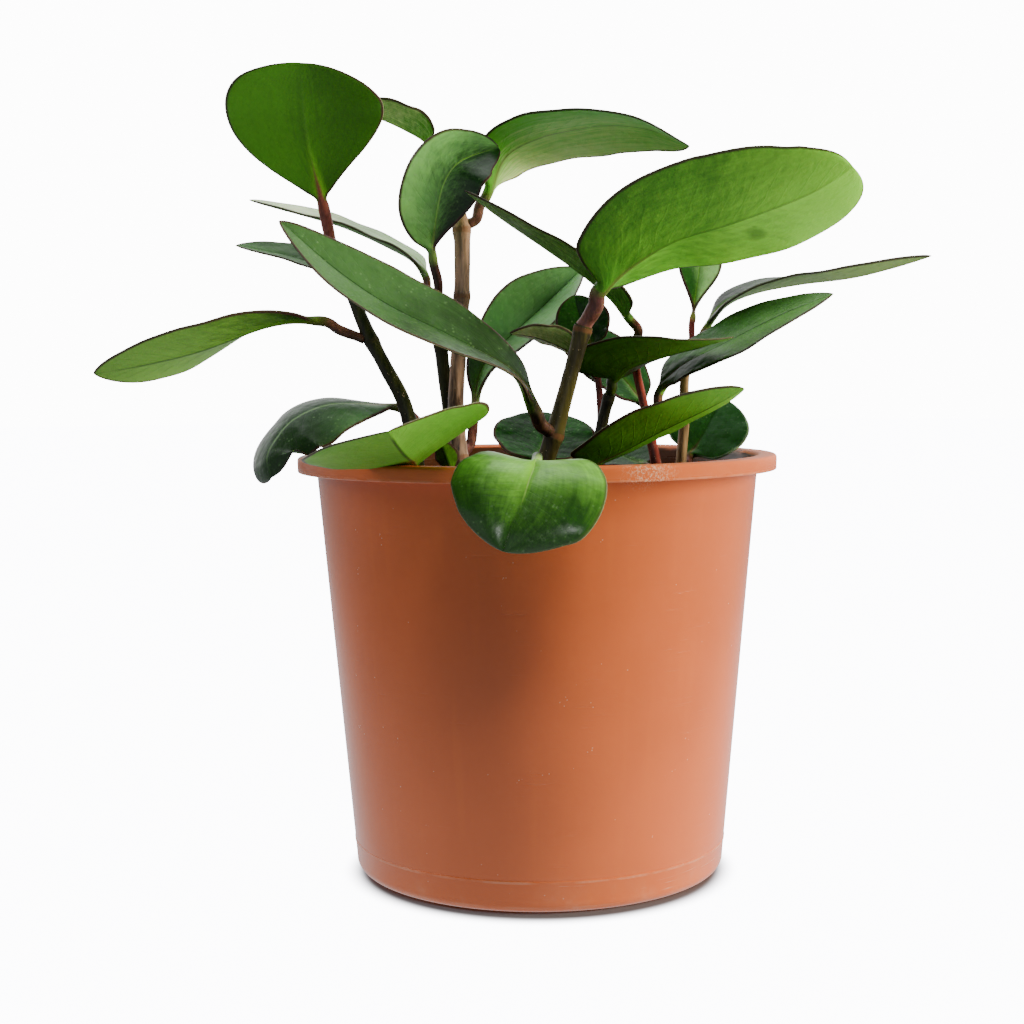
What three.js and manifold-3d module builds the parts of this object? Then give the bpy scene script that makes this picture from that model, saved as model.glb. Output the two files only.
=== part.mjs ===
// A peperomia in a terracotta-coloured plastic nursery pot.
//
// Millimetres, +Z up. The origin is the middle of the pot's flat underside, +X is the side that the
// longest right-hand leaves reach to, and -Y is the front, over whose rim the heart-shaped leaf hangs.
import * as THREE from 'three';
import { mergeVertices } from 'three/addons/utils/BufferGeometryUtils.js';
import Module from 'manifold-3d';

// Pot: an injection-moulded cone with a flange for a rim and a foot ring with drain holes.
const RIM_DIAMETER = 130;
const POT_HEIGHT = 113;
const RIM_BAND_HEIGHT = 4;
const RIM_WIDTH = 5;
const FOOT_RADIUS = 50.5;
const FOOT_CORNER = 3;
const WALL = 1.6;
const FLOOR = 3;
const EDGE_ROUNDING = 0.8;
const RECESS_INNER_RADIUS = 20;
const RECESS_OUTER_RADIUS = 42;
const RECESS_DEPTH = 1.2;
const DRAIN_HOLES = 6;
const DRAIN_HOLE_DIAMETER = 8;
const DRAIN_HOLE_CIRCLE = 31;
const DRAIN_HOLE_SIDES = 16;
const INNER_EDGE_ROUNDING = 2;
const POT_SIDES = 60;

// Soil: fills the pot to a little under the rim, with a low, uneven top.
const SOIL_LEVEL = 102;
const SOIL_UNEVENNESS = 1.6;
const SOIL_SIDES = 40;
const SOIL_CLEARANCE = 0.6;
const SOIL_RING_RADII = [50, 41, 31, 21, 11];
const GAP = 0.3;
const STEM_DEPTH = 16;

// Leaves and stems: sections around and along each closed tube.
const LEAF_SIDES = 12;
const STALK_RINGS = 3;
const BLADE_RINGS = 11;
const STEM_SIDES = 10;
const BLADE_THICKNESS = 1.1;
const STALK_START_TAPER = 0.6;
const BLADE_BLEND = 0.14;
const BLADE_FIRST_RING = 0.02;
const BLADE_LAST_RING = 0.995;
const TIP_THICKNESS_SHARE = 0.6;
const LOBE_LENGTH_SHARE = 0.7;
const SPAN_STEPS = 20;

// Stems from the soil upward: points of the middle line and the radius at each of them.
const STEMS = {
  left: {
    points: [[-33, 1, 103], [-33, 0, 113], [-36, 0, 127], [-41, 0, 137], [-46, 0, 147], [-51, 0, 160], [-55, 0, 170]],
    radii: [2.1, 2.1, 2, 1.9, 1.9, 1.6, 1.5],
  },
  front: {
    points: [[1, -25, 103], [2, -25, 112], [4.8, -25, 121], [9, -25, 136], [12, -25, 147]],
    radii: [2.5, 2.4, 2.3, 2, 2.2],
  },
  tall: {
    points: [[-21, -1, 103], [-21, 0, 112], [-22, 2, 126], [-21, 3, 142], [-20, 4, 158], [-20, 5, 175],
      [-22, 6, 182], [-25, 8, 191], [-25, 8, 198]],
    radii: [2.2, 2.2, 2.2, 2.1, 2.1, 2.3, 1.1, 0.9, 0.7],
  },
  second: {
    points: [[-23, 11, 103], [-22, 9, 112], [-24, 8, 125], [-26, 6, 142], [-26.5, 5, 155]],
    radii: [2, 2, 1.9, 1.8, 1.6],
  },
  red: {
    points: [[34, 4, 103], [33, 5, 110], [30, 8, 126], [28, 10, 136], [28, 10, 144]],
    radii: [1.7, 1.5, 1.2, 1.15, 1.3],
  },
  dark: {
    points: [[16.8, 0, 103], [16.8, 0, 113], [18, 0, 121], [20, -1, 129]],
    radii: [1.8, 1.7, 1.6, 1.5],
  },
  sprout: {
    points: [[18, 9, 103], [18, 9, 114], [18, 8, 125], [17, 9, 136]],
    radii: [1.2, 1.1, 1, 0.9],
  },
  tan: {
    points: [[41, 15, 103], [41, 15, 110], [42, 15, 122], [42, 15, 133], [44, 15, 144]],
    radii: [1.6, 1.5, 1.4, 1.3, 1.2],
  },
};

// Leaves. Each grows from a stem at the height `from`; `stalk` and `rib` are the points of the middle
// line up to and along the blade, and `thick` is the stalk's radius. `face` is where the upper side
// looks, at even steps from the blade's base to its tip. `fold` is how far each half rises from the
// rib, changing to `tipFold` where the blade twists flat or over, and `cup` is how much more it turns
// on its way to the margin, in degrees for the left and right half as seen from above with the tip
// ahead. `widest` is the place of the greatest width along the blade, `blunt` rounds its ends as it
// gets smaller, and `lobe` is how far the base reaches back.
const LEAVES = [
  { name: 'leaf_fan', stem: 'left', from: 170, stalk: [[-56, -1, 175]], thick: 1.6,
    rib: [[-57, -3, 182], [-59, -9, 192], [-60, -17, 204], [-59, -27, 214]],
    width: 43, widest: 0.58, blunt: 0.72, lobe: 1, face: [[0, 1, 0.3], [0, 0.7, 0.7]],
    fold: [8, 8], cup: [14, 14] },
  { name: 'leaf_left_long', stem: 'left', from: 144, stalk: [[-53, -1, 147]], thick: 1.4,
    rib: [[-58, -3, 149.5], [-71, -8, 148.5], [-89, -12, 142], [-103, -14, 138.5], [-117, -15, 136]],
    width: 21, widest: 0.56, blunt: 0.7, lobe: 1, face: [[0, 0.5, 0.85], [0, 0.62, 0.78]],
    fold: [2, 2], cup: [4, 4] },
  { name: 'leaf_front_long', stem: 'front', from: 119, stalk: [[0.6, -29, 122]], thick: 1.8,
    rib: [[-0.8, -31, 125.5], [-6.5, -34, 135.5], [-21, -38, 144], [-37, -42, 152], [-50, -44, 161], [-63.5, -44, 173]],
    width: 26, widest: 0.48, blunt: 0.72, lobe: 1, face: [[0.6, -0.25, 0.7], [0.5, -0.5, 0.65], [0.4, -0.65, 0.6]],
    fold: [10, 10], cup: [12, 8] },
  { name: 'leaf_big_right', stem: 'front', from: 147, stalk: [[15, -27, 152]], thick: 2.1,
    rib: [[16, -28, 156], [24, -31, 162], [37, -35, 168], [50, -38, 171], [62, -42, 175], [71, -45, 179],
      [78, -48, 183]],
    width: 43, widest: 0.52, blunt: 0.5, lobe: 7, face: [[-0.25, 0.57, 0.78], [-0.35, 0.57, 0.78]],
    fold: [12, 12], cup: [20, 20] },
  { name: 'leaf_top_right', stem: 'tall', from: 175, stalk: [[-16, 6, 177], [-15, 8, 181]], thick: 1.5,
    rib: [[-13, 9, 184], [-8, 8, 194.5], [1, 4, 199], [10, -1, 200.5], [20, -6, 201], [31, -10, 199], [40.5, -14, 194]],
    width: 27, widest: 0.44, blunt: 0.7, lobe: 1, face: [[-0.4, 0.6, 0.7], [-0.1, 0.4, 0.9], [0.3, 0.25, 0.9]],
    fold: [4, 6], tipFold: [-22, -20], cup: [-4, 4] },
  { name: 'leaf_upright', stem: 'second', from: 155, stalk: [[-26.5, 3, 160]], thick: 1.3,
    rib: [[-26.8, 1, 165.5], [-26.2, -2, 173.5], [-23.6, -4, 183], [-17.8, -5, 191.5], [-8.3, -4, 199]],
    width: 23.5, widest: 0.5, blunt: 0.7, lobe: 1, face: [[0.1, -0.95, 0.3], [0, -0.9, 0.4]],
    fold: [4, 30], cup: [8, 8] },
  { name: 'leaf_left_upper', stem: 'second', from: 152, stalk: [[-29.6, 7.5, 156.5]], thick: 1.1,
    rib: [[-31, 8.5, 162.5], [-37.5, 11, 169.5], [-46, 13, 173.3], [-58, 13, 177.4], [-78.7, 10, 183.3]],
    width: 17, widest: 0.4, blunt: 0.7, lobe: 1, face: [[0.45, 0.28, 0.85], [0.45, 0.28, 0.85]],
    fold: [8, 8], cup: [8, 8] },
  { name: 'leaf_left_behind', stem: 'second', from: 143, stalk: [[-31, 10, 147]], thick: 1.1,
    rib: [[-37, 13, 152], [-49, 15, 159.5], [-64, 14, 166.5], [-83, 12, 171]],
    width: 19, widest: 0.5, blunt: 0.7, lobe: 1, face: [[0.3, -0.3, 0.9], [0.3, -0.35, 0.9]],
    fold: [8, 8], cup: [8, 8] },
  { name: 'leaf_top_small', stem: 'tall', from: 197, stalk: [[-27, 7, 199]], thick: 0.8,
    rib: [[-28, 6, 200], [-34, 4, 202], [-41, 0, 204], [-50, -2, 206]],
    width: 15, widest: 0.45, blunt: 0.7, lobe: 1, face: [[0.4, 0.3, 0.85], [0.3, 0.3, 0.9]],
    fold: [12, 12], cup: [8, 8] },
  { name: 'leaf_centre_back', stem: 'tall', from: 112, stalk: [[-18, 5, 116]], thick: 1.4,
    rib: [[-17, 9, 125], [-15, 13, 136], [-7.5, 18, 144.5], [3, 24, 154], [14.5, 30, 165]],
    width: 24, widest: 0.62, blunt: 0.8, lobe: 0, face: [[-0.2, -0.8, 0.3], [-0.3, -0.7, 0.6]],
    fold: [26, 26], cup: [4, 4] },
  { name: 'leaf_middle_thin', stem: 'red', from: 144, stalk: [[26, 6, 149]], thick: 1.2,
    rib: [[23, 2, 153], [13.5, -5, 161], [3, -11, 168], [-8, -16.5, 175], [-18.5, -19, 182.5]],
    width: 22, widest: 0.45, blunt: 0.75, lobe: 1, face: [[0.45, 0.05, 0.9], [0.45, 0, 0.9]],
    fold: [10, 10], cup: [8, 8] },
  { name: 'leaf_flat_middle', stem: 'dark', from: 129, stalk: [[20.5, -3, 131]], thick: 1.5,
    rib: [[21, -4, 133.5], [26, -9, 137], [37, -15, 140.5], [51, -22, 144]],
    width: 38, widest: 0.42, blunt: 0.75, lobe: 10, face: [[-0.3, 0.2, 0.95], [-0.1, 0.1, 0.95]],
    fold: [6, 28], tipFold: [4, -8], cup: [4, 6] },
  { name: 'leaf_right_low', stem: 'front', from: 107, stalk: [[8, -29, 109]], thick: 1.6,
    rib: [[11.5, -31, 111], [21, -35, 115.5], [31, -40, 121], [41, -45, 126], [50.3, -48.5, 131]],
    width: 26, widest: 0.46, blunt: 0.6, lobe: 6, face: [[-0.36, 0.4, 0.82], [-0.3, 0.4, 0.82]],
    fold: [8, 8], cup: [10, 10] },
  { name: 'leaf_right', stem: 'red', from: 119, stalk: [[34, 4, 123]], thick: 1.3,
    rib: [[33.8, 3.5, 129], [39.5, 2.5, 136], [51.5, -1, 142.5], [65.3, -4, 149.5], [79.7, -7, 155.5]],
    width: 27, widest: 0.45, blunt: 0.75, lobe: 1, face: [[-0.33, -0.36, 0.87], [-0.33, -0.36, 0.87]],
    fold: [4, 4], cup: [4, 4] },
  { name: 'leaf_pale_small', stem: 'sprout', from: 133, stalk: [[14, 7, 137]], thick: 0.8,
    rib: [[12, 7, 139.5], [7, 3, 142.5], [0, -1, 145], [-7, -4, 146]],
    width: 14, widest: 0.5, blunt: 0.7, lobe: 0, face: [[0.2, 0.4, 0.9], [0.2, 0.4, 0.9]],
    fold: [10, 10], cup: [10, 10] },
  { name: 'leaf_small_round', stem: 'sprout', from: 136, stalk: [[17, 10, 139]], thick: 0.8,
    rib: [[16, 11, 142], [14, 11, 146.5], [12, 11, 152], [11, 11, 156.5]],
    width: 16, widest: 0.5, blunt: 0.6, lobe: 1, face: [[0, -0.9, 0.4], [0, -0.9, 0.4]],
    fold: [8, 8], cup: [8, 8] },
  { name: 'leaf_behind_long', stem: 'red', from: 117, stalk: [[33, 12, 121]], thick: 1.1,
    rib: [[31, 15, 125], [24, 19, 134], [14, 22, 143], [3, 25, 151]],
    width: 20, widest: 0.45, blunt: 0.75, lobe: 0, face: [[0.3, -0.75, 0.55], [0.3, -0.75, 0.55]],
    fold: [6, 6], cup: [6, 6] },
  { name: 'leaf_low_behind', stem: 'red', from: 106, stalk: [[33, 11, 107.5]], thick: 1.1,
    rib: [[31, 14, 108.5], [27, 21, 110], [22, 28, 112], [16, 34, 114]],
    width: 20, widest: 0.5, blunt: 0.65, lobe: 1, face: [[0, -0.5, 0.85], [0, -0.5, 0.85]],
    fold: [6, 6], cup: [6, 6] },
  { name: 'leaf_rim_right', stem: 'tan', from: 107, stalk: [[43, 18, 109]], thick: 1.3,
    rib: [[44, 20, 111], [47.5, 22, 116], [51, 25, 121.5], [54.5, 28, 127]],
    width: 26, widest: 0.5, blunt: 0.6, lobe: 1, face: [[-0.2, -0.8, 0.6], [-0.2, -0.8, 0.6]],
    fold: [6, 6], cup: [6, 6] },
  { name: 'leaf_small_upright', stem: 'tan', from: 144, stalk: [[44, 15, 148]], thick: 0.9,
    rib: [[44.3, 15, 152], [45.4, 17, 158], [46.6, 19, 165], [46.7, 22, 171]],
    width: 11.5, widest: 0.5, blunt: 0.8, lobe: 0, face: [[0, -0.85, 0.5], [0, -0.85, 0.5]],
    fold: [20, 20], cup: [6, 6] },
  { name: 'leaf_far_right', stem: 'tan', from: 141, stalk: [[46, 14, 143.5]], thick: 1,
    rib: [[47.8, 13.5, 147], [53, 12.5, 153.5], [61, 11.5, 157], [73, 9.5, 159.2], [89, 5, 161], [107.5, 0, 165.8]],
    width: 20, widest: 0.4, blunt: 0.75, lobe: 0, face: [[-0.3, -0.25, 0.9], [-0.2, 0.35, 0.9]],
    fold: [10, 10], cup: [6, 6] },
  { name: 'leaf_heart', stem: 'front', from: 106, stalk: [[0, -34, 110], [-0.5, -50, 114.6]], thick: 1.3,
    rib: [[-1, -63.5, 114.8], [-2.5, -70, 111.3], [-4.5, -74.5, 105.5], [-7, -77.5, 100], [-9, -79, 94.5]],
    width: 38, widest: 0.44, blunt: 0.72, lobe: 9, face: [[-0.05, -0.3, 1], [-0.05, -0.85, 0.5]],
    fold: [14, 21], cup: [-34, -38] },
  { name: 'leaf_over_rim', stem: 'left', from: 107, stalk: [[-33, -18, 110], [-32, -38, 114.4]], thick: 1.3,
    rib: [[-31, -50, 116], [-32, -62, 117.5], [-34, -75, 120], [-35, -86, 122.5]],
    width: 46, widest: 0.45, blunt: 0.7, lobe: 6, face: [[-0.25, 0.15, 0.94], [-0.25, 0.3, 0.94]],
    fold: [4, 4], cup: [4, 4] },
  { name: 'leaf_left_drooping', stem: 'second', from: 123, stalk: [[-31, 8, 125], [-38, 7, 126]], thick: 1.3,
    rib: [[-44, 5, 126.5], [-55, 2, 126.5], [-64.5, -1, 124.5], [-73, -3, 118], [-75.6, -5, 112], [-73.6, -7, 106]],
    width: 30, widest: 0.5, blunt: 0.7, lobe: 1, face: [[0, -0.38, 0.92], [-0.5, -0.5, 0.7], [-0.9, -0.3, 0.2]],
    fold: [-6, -6], cup: [-16, -16] },
  { name: 'leaf_round_back', stem: 'front', from: 107, stalk: [[0, -14, 109]], thick: 1.3,
    rib: [[0, -3, 111], [1.6, 6, 114.5], [3.2, 14, 119], [4.5, 22, 123.5]],
    width: 29, widest: 0.5, blunt: 0.6, lobe: 2, face: [[0, -0.6, 0.8], [0, -0.75, 0.65]],
    fold: [5, 5], cup: [5, 5] },
  { name: 'leaf_bud_low', stem: 'tall', from: 106, stalk: [[-22, -6, 108]], thick: 0.8,
    rib: [[-23, -8, 109.5], [-24, -10, 112], [-25, -11, 115], [-26, -12, 117]],
    width: 7, widest: 0.45, blunt: 0.7, lobe: 0, face: [[0, 0.9, 0.4], [0, 0.9, 0.4]],
    fold: [20, 20], cup: [8, 8] },
];

const terracotta = new THREE.MeshStandardMaterial({ color: 0xbf6a45, roughness: 0.42, metalness: 0 });
const earth = new THREE.MeshStandardMaterial({ color: 0x3a2a1f, roughness: 0.95, metalness: 0 });
const stemSkin = new THREE.MeshStandardMaterial({ color: 0x5a4a2c, roughness: 0.5, metalness: 0 });
const leafSkin = new THREE.MeshStandardMaterial({ color: 0x2f6b2a, roughness: 0.35, metalness: 0 });

const { PI, sin, cos, sqrt, abs, sign } = Math;
const smooth = THREE.MathUtils.smoothstep;
const mix = THREE.MathUtils.lerp;
const toVector = (xyz) => new THREE.Vector3(...xyz);

// --- closed tubes from rings of points --------------------------------------------------------------

// Joins rings of equal size with two triangles a quad, and closes both ends with a fan. The diagonals
// of the lower half mirror those of the upper half, so both faces of a thin blade bend alike.
function ringTube(rings) {
  const sides = rings[0].length;
  const vertices = rings.flat();
  const index = [];
  for (let ring = 0; ring < rings.length - 1; ring++) {
    for (let side = 0; side < sides; side++) {
      const next = (side + 1) % sides;
      const [a, b] = [ring * sides + side, ring * sides + next];
      const [c, d] = [b + sides, a + sides];
      if (side < sides / 2) index.push(a, b, c, a, c, d);
      else index.push(a, b, d, b, c, d);
    }
  }
  for (const [ring, inward] of [[0, true], [rings.length - 1, false]]) {
    const centre = new THREE.Vector3();
    rings[ring].forEach((point) => centre.addScaledVector(point, 1 / sides));
    const hub = vertices.push(centre) - 1;
    for (let side = 0; side < sides; side++) {
      const [a, b] = [ring * sides + side, ring * sides + ((side + 1) % sides)];
      index.push(hub, inward ? b : a, inward ? a : b);
    }
  }
  const geometry = new THREE.BufferGeometry().setFromPoints(vertices);
  geometry.setIndex(index);
  return geometry;
}

// --- solids for joining and cutting -----------------------------------------------------------------

const wasm = await Module();
wasm.setup();

function toSolid(geometry) {
  const bare = geometry.clone();
  bare.deleteAttribute('normal');
  bare.deleteAttribute('uv');
  const merged = mergeVertices(bare, 1e-4);
  return new wasm.Manifold(new wasm.Mesh({
    numProp: 3,
    vertProperties: new Float32Array(merged.attributes.position.array),
    triVerts: new Uint32Array(merged.index.array),
  }));
}

function toGeometry(solid) {
  const { vertProperties, triVerts } = solid.getMesh();
  const geometry = new THREE.BufferGeometry();
  geometry.setAttribute('position', new THREE.BufferAttribute(vertProperties, 3));
  geometry.setIndex(new THREE.BufferAttribute(triVerts, 1));
  return geometry;
}

function lathe(profile, sides) {
  const points = profile.map(([radius, z]) => new THREE.Vector2(radius, z));
  return new THREE.LatheGeometry(points, sides).rotateX(PI / 2);
}

// A quarter of a circle from one direction to another, as profile points.
function corner(radius, z, size, fromDegrees, toDegrees, steps = 3) {
  return Array.from({ length: steps + 1 }, (_, step) => {
    const angle = THREE.MathUtils.degToRad(mix(fromDegrees, toDegrees, step / steps));
    return [radius + size * cos(angle), z + size * sin(angle)];
  });
}

// --- pot --------------------------------------------------------------------------------------------

const rimRadius = RIM_DIAMETER / 2;
const wallTopRadius = rimRadius - RIM_WIDTH;
const flangeUnderside = POT_HEIGHT - WALL;
const potTaper = (wallTopRadius - FOOT_RADIUS) / (flangeUnderside - FOOT_CORNER);
const outerWallRadius = (z) => FOOT_RADIUS + potTaper * (z - FOOT_CORNER);
const innerWallRadius = (z) => outerWallRadius(z) - WALL;

function potGeometry() {
  const [size, top] = [INNER_EDGE_ROUNDING, POT_HEIGHT - INNER_EDGE_ROUNDING];
  const profile = [
    [0, 0],
    [RECESS_INNER_RADIUS, 0],
    [RECESS_INNER_RADIUS + RECESS_DEPTH, RECESS_DEPTH],
    [RECESS_OUTER_RADIUS, RECESS_DEPTH],
    [RECESS_OUTER_RADIUS + RECESS_DEPTH, 0],
    ...corner(FOOT_RADIUS - FOOT_CORNER, FOOT_CORNER, FOOT_CORNER, -90, 0),
    [outerWallRadius(flangeUnderside), flangeUnderside],
    [rimRadius - WALL, flangeUnderside],
    [rimRadius - WALL, POT_HEIGHT - RIM_BAND_HEIGHT],
    [rimRadius, POT_HEIGHT - RIM_BAND_HEIGHT],
    ...corner(rimRadius - EDGE_ROUNDING, POT_HEIGHT - EDGE_ROUNDING, EDGE_ROUNDING, 0, 90, 2),
    ...corner(wallTopRadius + size / 2, top, size, 90, 180),
    [innerWallRadius(FLOOR + FOOT_CORNER), FLOOR + FOOT_CORNER],
    [innerWallRadius(FLOOR) - FOOT_CORNER, FLOOR],
    [0, FLOOR],
  ];
  let pot = toSolid(lathe(profile, POT_SIDES));
  for (let hole = 0; hole < DRAIN_HOLES; hole++) {
    const angle = (hole / DRAIN_HOLES) * 2 * PI;
    const holeRadius = DRAIN_HOLE_DIAMETER / 2;
    const drain = new THREE.CylinderGeometry(holeRadius, holeRadius, 4 * FLOOR, DRAIN_HOLE_SIDES);
    drain.rotateX(PI / 2);
    drain.translate(DRAIN_HOLE_CIRCLE * cos(angle), DRAIN_HOLE_CIRCLE * sin(angle), 0);
    pot = pot.subtract(toSolid(drain));
  }
  return toGeometry(pot);
}

// --- stems ------------------------------------------------------------------------------------------

const stemCurve = ({ points }) => new THREE.CatmullRomCurve3(points.map(toVector), false, 'catmullrom', 0.5);

function stemRadiusAt({ radii }, t) {
  const place = t * (radii.length - 1);
  const low = Math.min(Math.floor(place), radii.length - 2);
  return mix(radii[low], radii[low + 1], place - low);
}

// Rings stand level near the soil and square to the stem above it. The buried end goes straight down.
function stemGeometry(stem) {
  const curve = stemCurve(stem);
  const steps = 2 * (stem.points.length - 1);
  const rings = [];
  for (let step = -1; step <= steps; step++) {
    const t = Math.max(step, 0) / steps;
    const centre = curve.getPoint(t);
    if (step < 0) centre.z -= STEM_DEPTH;
    const along = step <= 0 ? new THREE.Vector3(0, 0, 1) : curve.getTangent(t);
    const sideways = new THREE.Vector3(0, 1, 0).cross(along).normalize();
    const outward = along.clone().cross(sideways);
    const radius = stemRadiusAt(stem, t);
    rings.push(Array.from({ length: STEM_SIDES }, (_, side) => {
      const angle = (side / STEM_SIDES) * 2 * PI;
      return centre.clone()
        .addScaledVector(sideways, radius * cos(angle))
        .addScaledVector(outward, radius * sin(angle));
    }));
  }
  return ringTube(rings);
}

// --- soil -------------------------------------------------------------------------------------------

const soilTop = (x, y) => SOIL_LEVEL + SOIL_UNEVENNESS * sin(x / 9 + 1) * cos(y / 11 - 0.5);

function soilGeometry() {
  const bottom = FLOOR + GAP;
  const step = FOOT_CORNER + GAP;
  const reach = (z) => innerWallRadius(z) - SOIL_CLEARANCE;
  const profile = [
    [0, bottom],
    [reach(bottom) - step, bottom],
    [reach(bottom + step), bottom + step],
    [reach(SOIL_LEVEL), SOIL_LEVEL],
    ...SOIL_RING_RADII.map((radius) => [radius, SOIL_LEVEL]),
    [0, SOIL_LEVEL],
  ];
  const geometry = lathe(profile, SOIL_SIDES);
  const position = geometry.attributes.position;
  for (let i = 0; i < position.count; i++) {
    const [x, y, z] = [position.getX(i), position.getY(i), position.getZ(i)];
    if (abs(z - SOIL_LEVEL) < 0.01) position.setZ(i, soilTop(x, y));
  }
  let soil = toSolid(geometry);
  for (const stem of Object.values(STEMS)) {
    const [x, y, z] = stem.points[0];
    const depth = STEM_DEPTH + GAP;
    const radius = (stem.radii[0] + GAP) / cos(PI / STEM_SIDES);
    const hole = new THREE.CylinderGeometry(radius, radius, 2 * depth, STEM_SIDES);
    hole.rotateX(PI / 2).translate(x, y, z);
    soil = soil.subtract(toSolid(hole));
  }
  return toGeometry(soil);
}

// --- leaves -----------------------------------------------------------------------------------------

// Half-width along the blade, from 0 at the base to 1 at the tip: a sine stretched so that it peaks at
// `widest`, and flattened so that both ends are rounded.
function halfWidth({ width, widest, blunt }, v) {
  const stretch = Math.log(0.5) / Math.log(widest);
  return (width / 2) * Math.max(sin(PI * v ** stretch), 0) ** blunt;
}

// Where the upper side looks at the share `v` of the blade.
function facing(faces, v) {
  const place = v * (faces.length - 1);
  const low = Math.min(Math.floor(place), faces.length - 2);
  return toVector(faces[low]).normalize().lerp(toVector(faces[low + 1]).normalize(), place - low);
}

// The stalk starts just clear of the stem's skin, or of its flat top where it carries the stem on.
function stalkStart(stem, leaf) {
  const trunk = stemCurve(stem);
  const samples = 400;
  const points = trunk.getPoints(samples);
  const nearest = points.reduce((best, point, i) => (
    abs(point.z - leaf.from) < abs(points[best].z - leaf.from) ? i : best), 0);
  const node = points[nearest];
  const away = toVector(leaf.stalk[0]).sub(node).normalize();
  const lean = away.angleTo(trunk.getTangent(nearest / samples));
  const startRadius = leaf.thick * STALK_START_TAPER;
  const clear = nearest === samples
    ? 1.5 * GAP + startRadius * sin(lean)
    : GAP + (stemRadiusAt(stem, nearest / samples) + startRadius * abs(cos(lean))) / sin(lean);
  return node.clone().addScaledVector(away, clear);
}

// One half of the blade bends in an arc away from the rib. Gives the reach sideways and upward, and
// the slope there, at the share `s` of the half-width.
function halfSection(half, s, foldDegrees, cupDegrees) {
  const fold = THREE.MathUtils.degToRad(foldDegrees);
  const cup = THREE.MathUtils.degToRad(cupDegrees || 0.01);
  const slope = fold + cup * s;
  return {
    sideways: (half * (sin(slope) - sin(fold))) / cup,
    upward: (half * (cos(fold) - cos(slope))) / cup,
    slope,
  };
}

function leafGeometry(leaf) {
  const start = stalkStart(STEMS[leaf.stem], leaf);
  const points = [start, ...leaf.stalk.map(toVector), ...leaf.rib.map(toVector)];
  const curve = new THREE.CatmullRomCurve3(points, false, 'catmullrom', 0.5);
  const divisions = SPAN_STEPS * (points.length - 1);
  const lengths = curve.getLengths(divisions);
  curve.arcLengthDivisions = divisions;
  const bladeStart = lengths[SPAN_STEPS * (leaf.stalk.length + 1)] / lengths[divisions];

  const rings = [];
  for (let ring = 0; ring < STALK_RINGS + BLADE_RINGS; ring++) {
    const inBlade = ring >= STALK_RINGS;
    const step = (ring - STALK_RINGS) / (BLADE_RINGS - 1);
    const v = inBlade ? mix(BLADE_FIRST_RING, BLADE_LAST_RING, 0.5 - 0.5 * cos(PI * step)) : 0;
    const u = inBlade ? mix(bladeStart, 1, v) : bladeStart * (ring / STALK_RINGS);
    const centre = curve.getPointAt(u);
    const along = curve.getTangentAt(u);
    const face = facing(leaf.face, v);
    const up = face.addScaledVector(along, -face.dot(along)).normalize();
    const left = up.clone().cross(along);
    const half = halfWidth(leaf, v);
    const blade = smooth(v, 0, BLADE_BLEND);
    const thickness = (BLADE_THICKNESS / 2) * mix(1, TIP_THICKNESS_SHARE, v);
    const stalk = leaf.thick * (ring === 0 ? STALK_START_TAPER : 1);
    rings.push(Array.from({ length: LEAF_SIDES }, (_, side) => {
      const angle = (side / LEAF_SIDES) * 2 * PI;
      const across = abs(cos(angle)) < 1e-6 ? 0 : cos(angle);
      const above = abs(sin(angle)) < 1e-6 ? 0 : sin(angle);
      const which = across > 0 ? 0 : 1;
      const fold = mix(leaf.fold[which], (leaf.tipFold ?? leaf.fold)[which], v);
      const section = halfSection(half, abs(across), fold, leaf.cup[which]);
      const lift = sign(above) * sqrt(abs(above)) * thickness;
      const bladeLeft = sign(across) * (section.sideways - lift * sin(section.slope));
      const bladeUp = section.upward + lift * cos(section.slope);
      const back = leaf.lobe * across * across * (1 - smooth(v, 0, LOBE_LENGTH_SHARE));
      return centre.clone()
        .addScaledVector(left, mix(stalk * across, bladeLeft, blade))
        .addScaledVector(up, mix(stalk * above, bladeUp, blade))
        .addScaledVector(along, -back * blade);
    }));
  }
  return ringTube(rings);
}

// --- the whole plant --------------------------------------------------------------------------------

const plant = new THREE.Group();

function add(name, geometry, material) {
  const mesh = new THREE.Mesh(geometry, material);
  mesh.name = name;
  plant.add(mesh);
}

add('pot', potGeometry(), terracotta);
add('soil', soilGeometry(), earth);
for (const [name, stem] of Object.entries(STEMS)) add(`stem_${name}`, stemGeometry(stem), stemSkin);
for (const leaf of LEAVES) add(leaf.name, leafGeometry(leaf), leafSkin);

export default plant;
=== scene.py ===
import math

import bpy
from mathutils import Matrix, Vector, noise


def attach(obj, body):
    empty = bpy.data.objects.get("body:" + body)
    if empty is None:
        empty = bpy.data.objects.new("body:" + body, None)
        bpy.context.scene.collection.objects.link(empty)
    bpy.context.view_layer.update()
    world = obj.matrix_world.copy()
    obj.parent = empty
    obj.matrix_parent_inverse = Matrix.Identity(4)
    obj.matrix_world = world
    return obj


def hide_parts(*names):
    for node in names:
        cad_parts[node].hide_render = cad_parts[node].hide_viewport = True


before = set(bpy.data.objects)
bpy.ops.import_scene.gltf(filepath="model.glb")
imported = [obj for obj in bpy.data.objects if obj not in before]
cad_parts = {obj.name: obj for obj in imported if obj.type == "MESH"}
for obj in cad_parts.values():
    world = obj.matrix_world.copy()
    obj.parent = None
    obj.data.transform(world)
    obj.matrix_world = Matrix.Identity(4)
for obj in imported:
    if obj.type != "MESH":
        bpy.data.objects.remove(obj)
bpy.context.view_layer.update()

# --- camera, floor and light --------------------------------------------------------------------
# The plant stands on a white board that glows, with a painted shadow round the pot's foot and painted bounce
# light near the pot. The camera looks almost level over the pot's rim, from close by. Four soft lamps light
# it, the strongest at the right, and a card and a window are there only to shine in the smooth plastic and
# the waxy leaves.
MM = 0.001
CAMERA = {"place": (-6.85, -477.9, 136.75), "tilt": 85.253, "roll": -0.495, "lens": 61.46, "sensor": 36}
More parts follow.
